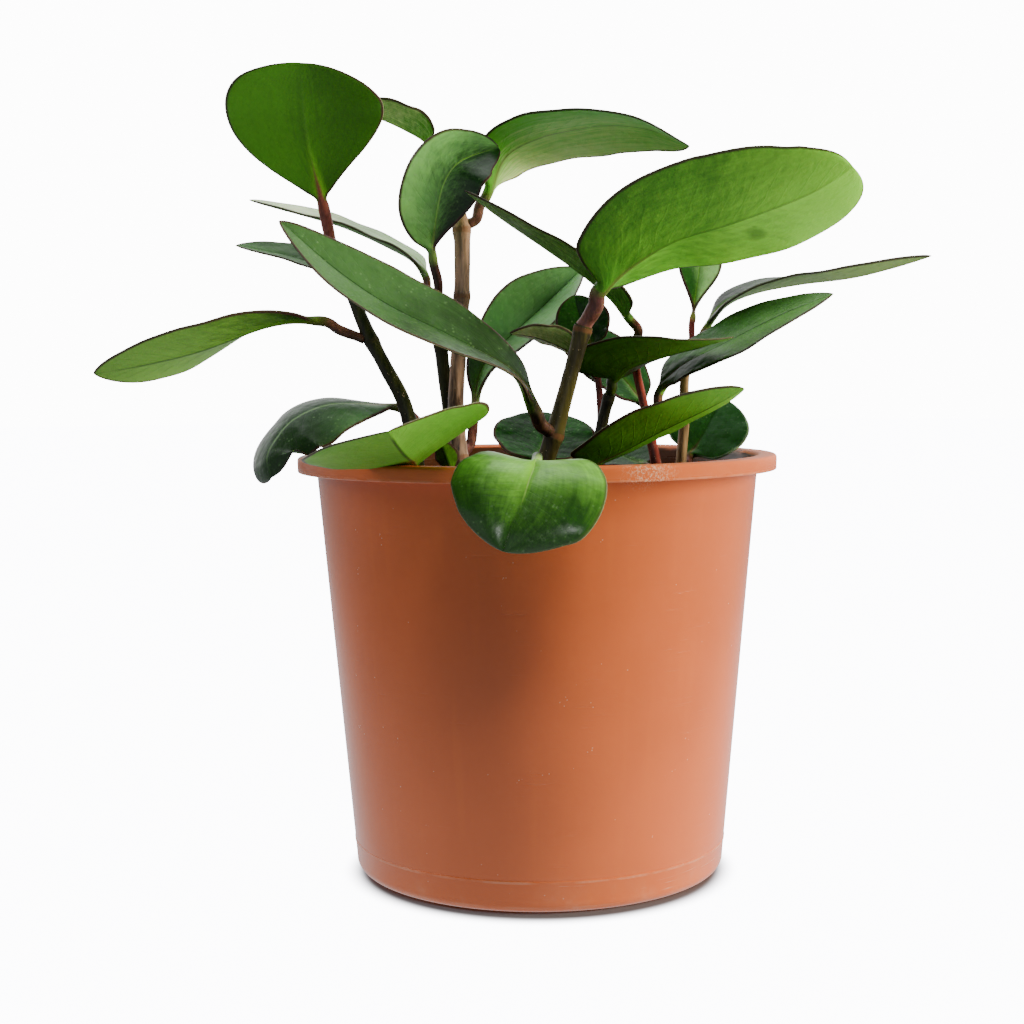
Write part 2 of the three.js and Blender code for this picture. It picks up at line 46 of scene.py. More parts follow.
# Each lamp's place and aim, its two sides in metres, its watts and colour, and what it is for.
LAMPS = (
    ("lamp_right", (1.0, -0.13, 0.33), (0.0, 0.0, 0.1), (0.4, 0.6), 25, (1.0, 0.9, 0.7), "lights"),
    ("lamp_left", (-0.95, 0.22, 0.7), (0.0, 0.0, 0.08), (0.4, 0.7), 7.4, (0.96, 0.97, 1.0), "lights"),
    ("lamp_top", (-0.1, 0.25, 1.1), (0.0, 0.0, 0.1), (0.9, 0.6), 3, (1.0, 1.0, 1.0), "both"),
    ("lamp_front", (0.35, -0.65, 1.15), (0.0, 0.0, 0.08), (0.4, 0.25), 7.5, (0.95, 0.97, 1.0), "lights"),
    ("card_left", (-1.0, -0.8, 0.4), (0.0, 0.0, 0.12), (1.2, 0.9), 2, (0.93, 0.95, 1.0), "shines"),
    ("window", (0.08, -1.1, 0.5), (-0.02, 0.0, 0.18), (0.12, 0.22), 2.2, (1.0, 1.0, 1.0), "shines"),
)
# How bright the room is in front and behind, and how bright the camera sees the room and the board.
ROOM = {"front": 0.05, "back": 1.6, "turns_at": (-0.1, 0.9), "seen": 13.0}
# The board glows: the painted shadow the camera sees under the pot, the painted bounce light near the pot,
# and how brightly it glows in gloss as a painted reflection.
BOARD = {
    "radius": 4.0, "sides": 64, "colour": (0.12, 0.12, 0.13, 1.0), "glow": (0.95, 0.95, 1.0, 1.0),
    "roughness": 0.7, "specular": 0.2, "middle": (0.0, -0.005, 0.0), "painted_shadow_at": (0.047, 0.0555),
    "bounce": (0.82, 0.0), "bounce_at": (0.08, 0.3), "gloss": (0.85, 0.27), "gloss_at": (0.08, 0.33),
}
scene = bpy.context.scene

camera = bpy.data.objects.new("camera", bpy.data.cameras.new("camera"))
camera.data.sensor_width = CAMERA["sensor"]
camera.data.lens = CAMERA["lens"]
camera.matrix_world = (
    Matrix.Translation(Vector(CAMERA["place"]) * MM)
    @ Matrix.Rotation(math.radians(CAMERA["tilt"]), 4, "X")
    @ Matrix.Rotation(math.radians(CAMERA["roll"]), 4, "Z")
)
scene.collection.objects.link(camera)
scene.camera = camera

for name, place, aim, sides, watts, colour, role in LAMPS:
    lamp = bpy.data.lights.new(name, "AREA")
    lamp.shape = "RECTANGLE"
    lamp.size, lamp.size_y = sides
    lamp.energy = watts
    lamp.color = colour
    stand = bpy.data.objects.new(name, lamp)
    direction = Vector(aim) - Vector(place)
    stand.matrix_world = Matrix.Translation(place) @ direction.to_track_quat("-Z", "Y").to_matrix().to_4x4()
    stand.visible_diffuse = role != "shines"
    stand.visible_glossy = role != "lights"
    scene.collection.objects.link(stand)


def add_piece(name, mesh):
    piece = bpy.data.objects.new(name, mesh)
    scene.collection.objects.link(piece)
    return piece


class Wire:
    """One output of a node, which can be added, multiplied and so on like a number."""

    def __init__(self, socket):
        self.socket = socket

    def __add__(self, other):
        return maths("ADD", self, other)

    def __sub__(self, other):
        return maths("SUBTRACT", self, other)

    def __rsub__(self, other):
        return maths("SUBTRACT", other, self)

    def __mul__(self, other):
        return maths("MULTIPLY", self, other)

    def __truediv__(self, other):
        return maths("DIVIDE", self, other)

    def __pow__(self, other):
        return maths("POWER", self, other)

    __radd__ = __add__
    __rmul__ = __mul__


def feed(slot, value):
    if isinstance(value, Wire):
        slot.id_data.links.new(value.socket, slot)
    else:
        slot.default_value = value


def tree_of(values):
    return next(value.socket.id_data for value in values if isinstance(value, Wire))


def maths(operation, *values):
    node = tree_of(values).nodes.new("ShaderNodeMath")
    node.operation = operation
    for slot, value in zip(node.inputs, values):
        feed(slot, value)
    return Wire(node.outputs[0])


def vector_maths(operation, first, second=None):
    node = first.socket.id_data.nodes.new("ShaderNodeVectorMath")
    node.operation = operation
    feed(node.inputs[0], first)
    if second is not None:
        feed(node.inputs["Scale" if operation == "SCALE" else 1], second)
    return Wire(node.outputs["Value" if operation in ("DOT_PRODUCT", "LENGTH", "DISTANCE") else "Vector"])


def new_node(tree, kind, settings=(), **inputs):
    """Adds a node, sets its properties, and feeds the inputs named with _ for a space."""
    node = tree.nodes.new(kind)
    for name, value in dict(settings).items():
        setattr(node, name, value)
    for name, value in inputs.items():
        feed(node.inputs[name.replace("_", " ")], value)
    return node


def ramp(value, low, high, start=0.0, end=1.0, shape="SMOOTHSTEP"):
    node = new_node(tree_of([value]), "ShaderNodeMapRange", {"interpolation_type": shape})
    for slot, number in zip(node.inputs, (value, low, high, start, end)):
        feed(slot, number)
    return Wire(node.outputs["Result"])


def split(vector):
    node = new_node(tree_of([vector]), "ShaderNodeSeparateXYZ", Vector=vector)
    return [Wire(socket) for socket in node.outputs]


def join(x, y, z):
    node = new_node(tree_of([x, y, z]), "ShaderNodeCombineXYZ", X=x, Y=y, Z=z)
    return Wire(node.outputs[0])


def mix_values(share, first, second):
    node = new_node(tree_of([share, first, second]), "ShaderNodeMix", Factor=share, A=first, B=second)
    return Wire(node.outputs["Result"])


room = bpy.data.worlds.new("white_room")
room.use_nodes = True
room_nodes = room.node_tree.nodes
facing = Wire(room_nodes.new("ShaderNodeTexCoord").outputs["Generated"])
to_camera = Wire(room_nodes.new("ShaderNodeLightPath").outputs["Is Camera Ray"])
room_light = ramp(split(facing)[1], *ROOM["turns_at"], ROOM["front"], ROOM["back"])
feed(room_nodes["Background"].inputs["Strength"], mix_values(to_camera, room_light, ROOM["seen"]))
room_nodes["Background"].inputs["Color"].default_value = (1.0, 1.0, 1.0, 1.0)
scene.world = room

board_corners = [
    (BOARD["radius"] * math.cos(turn), BOARD["radius"] * math.sin(turn), 0.0)
    for turn in (2 * math.pi * side / BOARD["sides"] for side in range(BOARD["sides"]))
]
floor_mesh = bpy.data.meshes.new("floor")
floor_mesh.from_pydata(board_corners, [], [list(range(BOARD["sides"]))])
floor = add_piece("floor", floor_mesh)
board = bpy.data.materials.new("white_board")
board.use_nodes = True
board_nodes = board.node_tree.nodes
board_shader = board_nodes["Principled BSDF"]
board_shader.inputs["Base Color"].default_value = BOARD["colour"]
board_shader.inputs["Roughness"].default_value = BOARD["roughness"]
board_shader.inputs["Specular IOR Level"].default_value = BOARD["specular"]
board_shader.inputs["Emission Color"].default_value = BOARD["glow"]
board_place = Wire(board_nodes.new("ShaderNodeTexCoord").outputs["Object"])
ray = board_nodes.new("ShaderNodeLightPath")
away = vector_maths("DISTANCE", board_place, BOARD["middle"])
# Painted bounce light: for rays other than the camera's the board glows near the pot, and for gloss rays it
# glows as a painted reflection.
bounce = ramp(away, *BOARD["bounce_at"], *BOARD["bounce"], "LINEAR")
beside, ahead, _ = split(board_place)
spread = vector_maths("LENGTH", join(beside, maths("MINIMUM", ahead, 0.0), 0.0))
mirrored = ramp(spread, *BOARD["gloss_at"], *BOARD["gloss"], "LINEAR")
unseen = mix_values(Wire(ray.outputs["Is Glossy Ray"]), bounce, mirrored)
# Painted shadow: the camera sees the board glow white, except in a dark ring round the pot's foot.
seen = ramp(away, *BOARD["painted_shadow_at"], shape="SMOOTHERSTEP") * ROOM["seen"]
feed(board_shader.inputs["Emission Strength"], mix_values(Wire(ray.outputs["Is Camera Ray"]), unseen, seen))
floor.data.materials.append(board)

# --- pot ----------------------------------------------------------------------------------------
# An injection-moulded nursery pot in terracotta-coloured polypropylene: a thin tapering wall with
# a flange for a rim, a parting line just above the foot, and six drain holes in its floor.
POT = {
    "rim_radius": 65, "height": 113, "band": 4, "wall_top": 60, "foot_radius": 50.5, "foot_corner": 3,
    "wall": 1.6, "floor": 3, "recess": (20, 42), "recess_depth": 1.2, "seam_height": 8.2, "seam_bead": 0.12,
    "sides": 192,
}
# Lines left by the mould: height, and how pale the dust makes each.
MOULD_LINES = ((8.2, 0.26), (1.6, 0.16), (109.3, 0.2))
RIM_CRUST = (27, -60, 112.5)
DRAIN_HOLES = {"Count": 6, "Sides": 32, "Radius": 4.0 * MM, "Circle": 31 * MM, "Depth": 12 * MM}


def then(kind, geometry, settings=(), **inputs):
    """Passes geometry through one more node."""
    node = new_node(geometry.socket.id_data, kind, settings, **inputs)
    feed(node.inputs[0], geometry)
    return Wire(node.outputs[0])


def new_tree(name, kind, inputs, outputs):
    """A node tree with named inputs. Gives the tree, a wire for each input, and its output node."""
    tree = bpy.data.node_groups.new(name, kind)
    for label, default in inputs.items():
        if isinstance(default, str):
            tree.interface.new_socket(name=label, in_out="INPUT", socket_type=default)
            continue
        kinds = {int: "NodeSocketInt", float: "NodeSocketFloat", tuple: "NodeSocketColor"}
        socket = tree.interface.new_socket(name=label, in_out="INPUT", socket_type=kinds[type(default)])
        socket.default_value = default
    for label, socket_type in outputs.items():
        tree.interface.new_socket(name=label, in_out="OUTPUT", socket_type=socket_type)
    entry = tree.nodes.new("NodeGroupInput")
    wires = {socket.name: Wire(socket) for socket in entry.outputs if socket.name}
    return tree, wires, tree.nodes.new("NodeGroupOutput")


def growth_tree(name, inputs):
    """A geometry tree that takes a piece's mesh and its material beside the given inputs."""
    inputs = {"Geometry": "NodeSocketGeometry", "Material": "NodeSocketMaterial", **inputs}
    return new_tree(name, "GeometryNodeTree", inputs, {"Geometry": "NodeSocketGeometry"})


def close_tree(geometry, material, exit_node):
    """Every geometry tree ends by making instances real and setting the material."""
    geometry = then("GeometryNodeRealizeInstances", geometry)
    geometry = then("GeometryNodeSetMaterial", geometry, Material=material)
    feed(exit_node.inputs[0], geometry)


def grow(piece, tree, values):
    """Runs a geometry tree on a piece and keeps what it makes as the piece's plain mesh."""
    modifier = piece.modifiers.new("growth", "NODES")
    modifier.node_group = tree
    for socket in tree.interface.items_tree:
        if socket.in_out == "INPUT" and socket.name in values:
            modifier[socket.identifier] = values[socket.name]
    depsgraph = bpy.context.evaluated_depsgraph_get()
    mesh = bpy.data.meshes.new_from_object(
        piece.evaluated_get(depsgraph), preserve_all_data_layers=True, depsgraph=depsgraph
    )
    piece.modifiers.remove(modifier)
    piece.data = mesh


def settle(piece, nodes):
    """A finished piece rides on the plant's one body and takes the place of its solids."""
    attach(piece, "root")
    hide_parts(*nodes)


def corner(radius, z, size, start, end, steps=8):
    """A quarter of a circle as profile points."""
    angles = [math.radians(start + (end - start) * step / steps) for step in range(steps + 1)]
    return [(radius + size * math.cos(angle), z + size * math.sin(angle)) for angle in angles]


def revolve(name, profile, sides):
    """Turns a closed profile in millimetres round the upright axis. Points on the axis become one."""
    vertices = []
    rings = []
    for radius, z in profile:
        count = sides if radius > 0 else 1
        rings.append(list(range(len(vertices), len(vertices) + count)))
        for side in range(count):
            angle = 2 * math.pi * side / sides
            vertices.append((radius * math.cos(angle) * MM, radius * math.sin(angle) * MM, z * MM))
    faces = []
    for low, high in zip(rings, rings[1:]):
        for side in range(sides):
            after = (side + 1) % sides
            if len(low) == 1:
                faces.append((low[0], high[side], high[after]))
            elif len(high) == 1:
                faces.append((low[side], high[0], low[after]))
            else:
                faces.append((low[side], high[side], high[after], low[after]))
    mesh = bpy.data.meshes.new(name)
    mesh.from_pydata(vertices, [], [face[::-1] for face in faces])
    return mesh


pot_taper = (POT["wall_top"] - POT["foot_radius"]) / (POT["height"] - POT["wall"] - POT["foot_corner"])


def wall_radius(z):
    return POT["foot_radius"] + pot_taper * (z - POT["foot_corner"])


def pot_profile():
    height, wall, rim = POT["height"], POT["wall"], POT["rim_radius"]
    under = height - wall
    (near, far), depth, foot = POT["recess"], POT["recess_depth"], POT["foot_corner"]
    points = [(0, 0), (near, 0), (near + depth, depth), (far, depth), (far + depth, 0)]
    points += corner(POT["foot_radius"] - foot, foot, foot, -90, 0)
    seam, bead = POT["seam_height"], POT["seam_bead"]
    for rise, proud in ((-0.8, 0.0), (-0.3, bead), (0.3, bead), (0.45, -0.05), (1.0, 0.0)):
        points.append((wall_radius(seam + rise) + proud, seam + rise))
    points += [(wall_radius(z), z) for z in range(14, 108, 6)]
    points += [(wall_radius(109.6), 109.6), (wall_radius(111.0) + 0.5, 111.2), (62, under)]
    points += [(rim - wall - 0.3, under), (rim - wall, under - 0.3), (rim - wall, height - POT["band"])]
    points += corner(rim - 0.4, height - POT["band"] + 0.3, 0.35, -90, 0, 4)
    points += [(rim - 0.02, height - 2.4), (rim + 0.03, height - 1.6)]
    points += corner(rim - 0.9, height - 0.9, 0.9, 0, 90, 6)
    points += corner(POT["wall_top"] + 1, height - 2, 2, 90, 180)
    points += [(wall_radius(z) - wall, z) for z in range(108, 5, -6)]
    points += [(wall_radius(POT["floor"]) - wall - foot, POT["floor"]), (0, POT["floor"])]
    return points


def drain_tree():
    """Cuts a ring of round holes through the pot's floor."""
    tree, wire, exit_node = growth_tree("drain_holes", DRAIN_HOLES)
    ring = new_node(tree, "GeometryNodeMeshCircle", Vertices=wire["Count"], Radius=wire["Circle"])
    drill = new_node(
        tree, "GeometryNodeMeshCylinder", Vertices=wire["Sides"], Radius=wire["Radius"], Depth=wire["Depth"]
    )
    drills = then("GeometryNodeInstanceOnPoints", Wire(ring.outputs[0]), Instance=Wire(drill.outputs[0]))
    drills = then("GeometryNodeRealizeInstances", drills)
    cut = new_node(tree, "GeometryNodeMeshBoolean", {"operation": "DIFFERENCE"})
    feed(cut.inputs["Mesh 1"], wire["Geometry"])
    feed(cut.inputs["Mesh 2"], drills)
    smooth = then("GeometryNodeSetShadeSmooth", Wire(cut.outputs[0]))
    close_tree(smooth, wire["Material"], exit_node)
    return tree


def new_material(name):
    """A material with its shader, its node tree, and its object coordinates."""
    material = bpy.data.materials.new(name)
    material.use_nodes = True
    tree = material.node_tree
    place = Wire(tree.nodes.new("ShaderNodeTexCoord").outputs["Object"])
    return material, tree.nodes["Principled BSDF"], place


def noise_at(vector, scale, detail=3.0, roughness=0.5, distortion=0.0):
    """Soft random clouds, from 0 to 1."""
    node = new_node(
        tree_of([vector]), "ShaderNodeTexNoise", Vector=vector, Scale=scale, Detail=detail,
        Roughness=roughness, Distortion=distortion,
    )
    return Wire(node.outputs["Fac"])


def cells_at(vector, scale):
    """How far each point is from the middle of the random cell that it lies in."""
    node = new_node(tree_of([vector]), "ShaderNodeTexVoronoi", Vector=vector, Scale=scale)
    return Wire(node.outputs["Distance"])


def stretched(vector, x, y, z):
    """Scales a vector's three parts, so that a pattern gets longer one way."""
    return vector_maths("MULTIPLY", vector, (x, y, z))


def mix_colours(share, first, second):
    """Blends from the first colour to the second by the share."""
    node = tree_of([share, first, second]).nodes.new("ShaderNodeMix")
    node.data_type = "RGBA"
    feed(node.inputs[0], share)
    for slot, colour in ((node.inputs[6], first), (node.inputs[7], second)):
        feed(slot, colour if isinstance(colour, Wire) else (*colour[:3], 1.0))
    return Wire(node.outputs[2])


def bump(shader, height, distance, strength=1.0):
    node = new_node(shader.id_data, "ShaderNodeBump", Height=height, Distance=distance, Strength=strength)
    feed(shader.inputs["Normal"], Wire(node.outputs[0]))


def dust_tree():
    """Specks and smudges of dry dust: a mask for small spots and one for wide thin patches."""
    inputs = {"Vector": "NodeSocketVector", "Spot scale": 900.0, "Spot share": 0.1, "Smudge scale": 45.0}
    outputs = {"Spots": "NodeSocketFloat", "Smudges": "NodeSocketFloat"}
    tree, wire, exit_node = new_tree("dust", "ShaderNodeTree", inputs, outputs)
    spots = ramp(cells_at(wire["Vector"], wire["Spot scale"]), 0.1, 0.22, 1.0, 0.0)
    chosen = ramp(noise_at(wire["Vector"], wire["Smudge scale"] * 6.0, 2.0), 0.66, 0.7)
    feed(exit_node.inputs["Spots"], spots * chosen * wire["Spot share"])
    smudges = noise_at(wire["Vector"], wire["Smudge scale"], 6.0, 0.62)
    feed(exit_node.inputs["Smudges"], ramp(smudges, 0.45, 0.8))
    return tree


def terracotta_plastic():
    """Clouded orange-brown plastic with dust at its foot and rim, a crust on the rim, and painted shade with
    some soil grime on the inner wall.
    """
    material, shader, place = new_material("terracotta_plastic")
    tree = material.node_tree
    x, y, z = split(place)
    cloud = noise_at(place, 18.0, 4.0)
    colour = mix_colours(ramp(cloud, 0.35, 0.7), (0.56, 0.122, 0.027), (0.64, 0.141, 0.034))
    streaks = noise_at(stretched(place, 220.0, 220.0, 9.0), 1.0, 2.0)
    colour = mix_colours(ramp(streaks, 0.5, 0.75) * 0.15, colour, (0.72, 0.17, 0.03))
    dust = new_node(tree, "ShaderNodeGroup", {"node_tree": dust_tree()}, Vector=place)
    dust.inputs["Spot share"].default_value = 0.45
    spots = Wire(dust.outputs["Spots"])
    smudges = Wire(dust.outputs["Smudges"])
    low = ramp(z, 0.0, 0.012, 1.0, 0.0)
    high = ramp(z, 0.108, 0.1135)
    scratches = noise_at(stretched(place, 60.0, 60.0, 1400.0), 1.0, 2.0)
    scraped = ramp(scratches, 0.64, 0.7) * ramp(noise_at(place, 60.0, 3.0), 0.5, 0.62)
    pale = spots + smudges * (low * 0.3 + high * 0.12) + scraped * 0.35 * (low + 0.12)
    broken = ramp(noise_at(place, 170.0, 3.0), 0.3, 0.7)
    for height, strength in MOULD_LINES:
        pale = pale + ramp(maths("ABSOLUTE", z - height * MM), 0.0001, 0.00045, strength, 0.0) * broken
    crust = vector_maths("LENGTH", vector_maths("SUBTRACT", place, tuple(c * MM for c in RIM_CRUST)))
    crust = ramp(crust, 0.002, 0.01, 0.8, 0.0) * ramp(noise_at(place, 2200.0, 2.0, 0.7), 0.5, 0.62)
    pale = maths("MINIMUM", pale + crust, 1.0)
    colour = mix_colours(pale * 0.75, colour, (0.78, 0.58, 0.4))
    radius = vector_maths("LENGTH", join(x, y, 0.0))
    # Painted shade: the inner wall below the rim is painted nearly black for the shade inside the pot, with
    # some soil grime.
    inside = ramp(radius + z * -pot_taper, 0.0495, 0.0497, 1.0, 0.0) * ramp(z, 0.09, 0.1)
    inner_shade_and_grime = inside * ramp(noise_at(place, 120.0, 4.0) * 0.004 + z, 0.1135, 0.1155, 0.94, 0.0)
    colour = mix_colours(inner_shade_and_grime, colour, (0.035, 0.016, 0.009))
    feed(shader.inputs["Base Color"], colour)
    dull = smudges * 0.08 + pale * 0.3 + high * 0.3 + ramp(cloud, 0.3, 0.7) * 0.05
    feed(shader.inputs["Roughness"], dull + 0.16)
    shader.inputs["Specular IOR Level"].default_value = 0.4
    shader.inputs["Subsurface Weight"].default_value = 0.06
    shader.inputs["Subsurface Radius"].default_value = (0.004, 0.0015, 0.0008)
    skin = noise_at(place, 900.0, 3.0) * 0.3 + noise_at(stretched(place, 90.0, 90.0, 8.0), 1.0, 2.0)
    bump(shader, skin + pale * 0.4 - scraped * 0.3, 0.00006)
    return material


pot = add_piece("pot_shell", revolve("pot_shell", pot_profile(), POT["sides"]))
grow(pot, drain_tree(), {**DRAIN_HOLES, "Material": terracotta_plastic()})
pot.data.set_sharp_from_angle(angle=math.radians(38))
settle(pot, ["pot"])

# --- soil ---------------------------------------------------------------------------------------
# Damp peat-based potting soil, filled to a finger's width under the rim. Crumbs of peat, bits of
# bark and white grains of perlite lie loose on it.
SOIL = {
    "level": 102, "unevenness": 1.6, "lumps": 0.9, "lump_scale": 0.16, "bottom": 3.3, "clearance": 0.45,
    "rings": 46, "sides": 132,
}


def soil_top(x, y):
    rise = SOIL["unevenness"] * math.sin(x / 9 + 1) * math.cos(y / 11 - 0.5)
    lumps = noise.fractal(Vector((x, y, 0)) * SOIL["lump_scale"], 1.0, 2.0, 4)
    return SOIL["level"] + rise + SOIL["lumps"] * lumps


def soil_mesh():
    edge = wall_radius(SOIL["level"]) - POT["wall"] - SOIL["clearance"]
    foot = wall_radius(6) - POT["wall"] - SOIL["clearance"]
    rings = [(0, SOIL["bottom"]), (foot - 4, SOIL["bottom"]), (foot, 7), (edge, SOIL["level"] - 3)]
    rings += [(edge * (1 - step / SOIL["rings"]), SOIL["level"]) for step in range(SOIL["rings"])]
    mesh = revolve("soil_bed", rings + [(0, SOIL["level"])], SOIL["sides"])
    for vertex in mesh.vertices:
        if vertex.co.z > (SOIL["level"] - 1) * MM:
            vertex.co.z = soil_top(vertex.co.x / MM, vertex.co.y / MM) * MM
    return mesh


def potting_soil():
    material, shader, place = new_material("potting_soil")
    fine = noise_at(place, 520.0, 6.0, 0.7)
    clods = cells_at(place, 420.0)
    colour = mix_colours(ramp(fine, 0.3, 0.72), (0.012, 0.008, 0.006), (0.075, 0.045, 0.028))
    colour = mix_colours(ramp(noise_at(place, 1500.0, 2.0), 0.68, 0.75) * 0.7, colour, (0.2, 0.14, 0.09))
    feed(shader.inputs["Base Color"], colour)
    feed(shader.inputs["Roughness"], 0.8 + fine * 0.2)
    shader.inputs["Specular IOR Level"].default_value = 0.25
    bump(shader, fine + clods * -1.2, 0.0012)
    return material


def crumb_tree():
    """Strews crumbs over the upward faces of the soil, each turned and sized at random."""
    tree, wire, exit_node = growth_tree("crumbs", {
        "Density": 60000.0, "Seed": 1, "Crumb radius": 0.001, "Smallest": 0.4, "Largest": 1.5,
        "Flatness": 0.7, "Roughness": 0.35,
    })
    normal = Wire(tree.nodes.new("GeometryNodeInputNormal").outputs[0])
    height = split(Wire(tree.nodes.new("GeometryNodeInputPosition").outputs[0]))[2]
    upward = maths("GREATER_THAN", split(normal)[2], 0.5) * maths("GREATER_THAN", height, 0.09)
    points = new_node(
        tree, "GeometryNodeDistributePointsOnFaces", Mesh=wire["Geometry"], Selection=upward,
        Density=wire["Density"], Seed=wire["Seed"],
    )
    ball = new_node(tree, "GeometryNodeMeshIcoSphere", Radius=wire["Crumb radius"], Subdivisions=2)
    place = Wire(tree.nodes.new("GeometryNodeInputPosition").outputs[0])
    dents = new_node(tree, "ShaderNodeTexNoise", Vector=place, Scale=900.0, Detail=1.0)
    swell = (Wire(dents.outputs["Fac"]) - 0.5) * wire["Roughness"] * 4.0 + 1.0
    swollen = vector_maths("SCALE", place, swell)
    lump = then("GeometryNodeSetPosition", Wire(ball.outputs[0]), Position=swollen)
    flat = join(1.0, 0.8, wire["Flatness"])
    size = new_node(tree, "FunctionNodeRandomValue", {"data_type": "FLOAT"})
    feed(size.inputs[2], wire["Smallest"])
    feed(size.inputs[3], wire["Largest"])
    feed(size.inputs["Seed"], wire["Seed"])
    turn = new_node(tree, "FunctionNodeRandomValue", {"data_type": "FLOAT_VECTOR"})
    turn.inputs[0].default_value = (-0.5, -0.5, 0.0)
    turn.inputs[1].default_value = (0.5, 0.5, 2 * math.pi)
    feed(turn.inputs["Seed"], wire["Seed"])
    strewn = then(
        "GeometryNodeInstanceOnPoints", Wire(points.outputs["Points"]), Instance=lump,
        Rotation=Wire(turn.outputs[0]), Scale=vector_maths("SCALE", flat, Wire(size.outputs[1])),
    )
    close_tree(strewn, wire["Material"], exit_node)
    return tree


def crumb_skin(name, dark, light, roughness):
    material, shader, place = new_material(name)
    grain = noise_at(place, 700.0, 4.0, 0.65)
    feed(shader.inputs["Base Color"], mix_colours(ramp(grain, 0.3, 0.7), dark, light))
    feed(shader.inputs["Roughness"], roughness + grain * 0.2)
    bump(shader, grain, 0.0004)
    return material


soil = add_piece("soil_bed", soil_mesh())
soil.data.materials.append(potting_soil())
soil.data.shade_smooth()
settle(soil, ["soil"])

strew = crumb_tree()
CRUMBS = (
    ("soil_crumbs", (0.02, 0.012, 0.008), (0.1, 0.06, 0.035), 0.8,
     {"Density": 90000.0, "Seed": 3, "Crumb radius": 1.1 * MM, "Roughness": 0.5, "Flatness": 0.7}),
    ("bark_bits", (0.06, 0.03, 0.015), (0.22, 0.12, 0.06), 0.7,
     {"Density": 9000.0, "Seed": 5, "Crumb radius": 2.0 * MM, "Roughness": 0.6, "Flatness": 0.35}),
    ("perlite_grains", (0.6, 0.58, 0.54), (0.85, 0.84, 0.8), 0.75,
     {"Density": 4500.0, "Seed": 8, "Crumb radius": 1.2 * MM, "Roughness": 0.3, "Flatness": 0.85}),
)
for name, dark, light, roughness, values in CRUMBS:
    crumbs = add_piece(name, soil.data.copy())
    grow(crumbs, strew, {**values, "Material": crumb_skin(name, dark, light, roughness)})
    crumbs.data.shade_smooth()
    settle(crumbs, ["soil"])

# --- stems --------------------------------------------------------------------------------------
# Eight soft, round, upright stems. Each thickens a little where a leaf grows from it, with a pale
# ring there, and its skin goes from dark green to brown and red.
STEMS = {
    "left": {
        "points": [(-33, 1, 103), (-33, 0, 113), (-36, 0, 127), (-41, 0, 137), (-46, 0, 147), (-51, 0, 160),
                   (-55, 0, 170)],
        "radii": [2.1, 2.1, 2, 1.9, 1.9, 1.6, 1.5], "rings": [144, 168],
        "dark": (0.005, 0.007, 0.002), "light": (0.032, 0.036, 0.008), "ring": (0.03, 0.026, 0.01),
    },
    "front": {
        "points": [(1, -25, 103), (2, -25, 112), (4.8, -25, 121), (9, -25, 136), (12, -25, 147)],
        "radii": [2.5, 2.4, 2.3, 2, 2.2], "rings": [119, 146],
        "dark": (0.018, 0.015, 0.004), "light": (0.075, 0.064, 0.016), "ring": (0.16, 0.07, 0.03),
    },
    "tall": {
        "points": [(-21, -1, 103), (-21, 0, 112), (-22, 2, 126), (-21, 3, 142), (-20, 4, 158), (-20, 5, 175),
                   (-22, 6, 182), (-25, 8, 191), (-25, 8, 198)],
        "radii": [2.2, 2.2, 2.2, 2.1, 2.1, 2.3, 1.1, 0.9, 0.7], "rings": [112, 156, 174],
        "dark": (0.03, 0.016, 0.008), "light": (0.45, 0.28, 0.18), "ring": (0.22, 0.1, 0.05),
    },
    "second": {
        "points": [(-23, 11, 103), (-22, 9, 112), (-24, 8, 125), (-26, 6, 142), (-26.5, 5, 155)],
        "radii": [2, 2, 1.9, 1.8, 1.6], "rings": [123, 143, 153],
        "dark": (0.009, 0.012, 0.004), "light": (0.04, 0.046, 0.014), "ring": (0.05, 0.035, 0.014),
    },
    "red": {
        "points": [(34, 4, 103), (33, 5, 110), (30, 8, 126), (28, 10, 136), (28, 10, 144)],
        "radii": [1.7, 1.5, 1.2, 1.15, 1.3], "rings": [106, 118, 142],
        "dark": (0.12, 0.02, 0.014), "light": (0.32, 0.06, 0.04), "ring": (0.4, 0.14, 0.09),
    },
    "dark": {
        "points": [(16.8, 0, 103), (16.8, 0, 113), (18, 0, 121), (20, -1, 129)],
        "radii": [1.8, 1.7, 1.6, 1.5], "rings": [128],
        "dark": (0.008, 0.008, 0.003), "light": (0.026, 0.026, 0.008), "ring": (0.03, 0.03, 0.01),
    },
    "sprout": {
        "points": [(18, 9, 103), (18, 9, 114), (18, 8, 125), (17, 9, 136)],
        "radii": [1.2, 1.1, 1, 0.9], "rings": [134],
        "dark": (0.06, 0.012, 0.01), "light": (0.15, 0.028, 0.02), "ring": (0.16, 0.05, 0.03),
    },
    "tan": {
        "points": [(41, 15, 103), (41, 15, 110), (42, 15, 122), (42, 15, 133), (44, 15, 144)],
        "radii": [1.6, 1.5, 1.4, 1.3, 1.2], "rings": [107, 141],
        "dark": (0.11, 0.065, 0.028), "light": (0.36, 0.23, 0.12), "ring": (0.34, 0.2, 0.1),
    },
}
PATH_STEPS = 24
STEM_DEPTH = 16
JOINT_LENGTH = 1.6


def smooth_path(points, steps=PATH_STEPS):
    """Points along the smooth curve that passes through the given ones."""
    points = [Vector(point) for point in points]
    ends = [2 * points[0] - points[1]] + points + [2 * points[-1] - points[-2]]
    path = []
    for before, start, end, after in zip(ends, ends[1:], ends[2:], ends[3:]):
        for step in range(steps):
            t = step / steps
            bend = (2 * before - 5 * start + 4 * end - after) * t**2
            twist = (3 * start - before - 3 * end + after) * t**3
            path.append((2 * start + (end - before) * t + bend + twist) / 2)
    return path + [points[-1]]


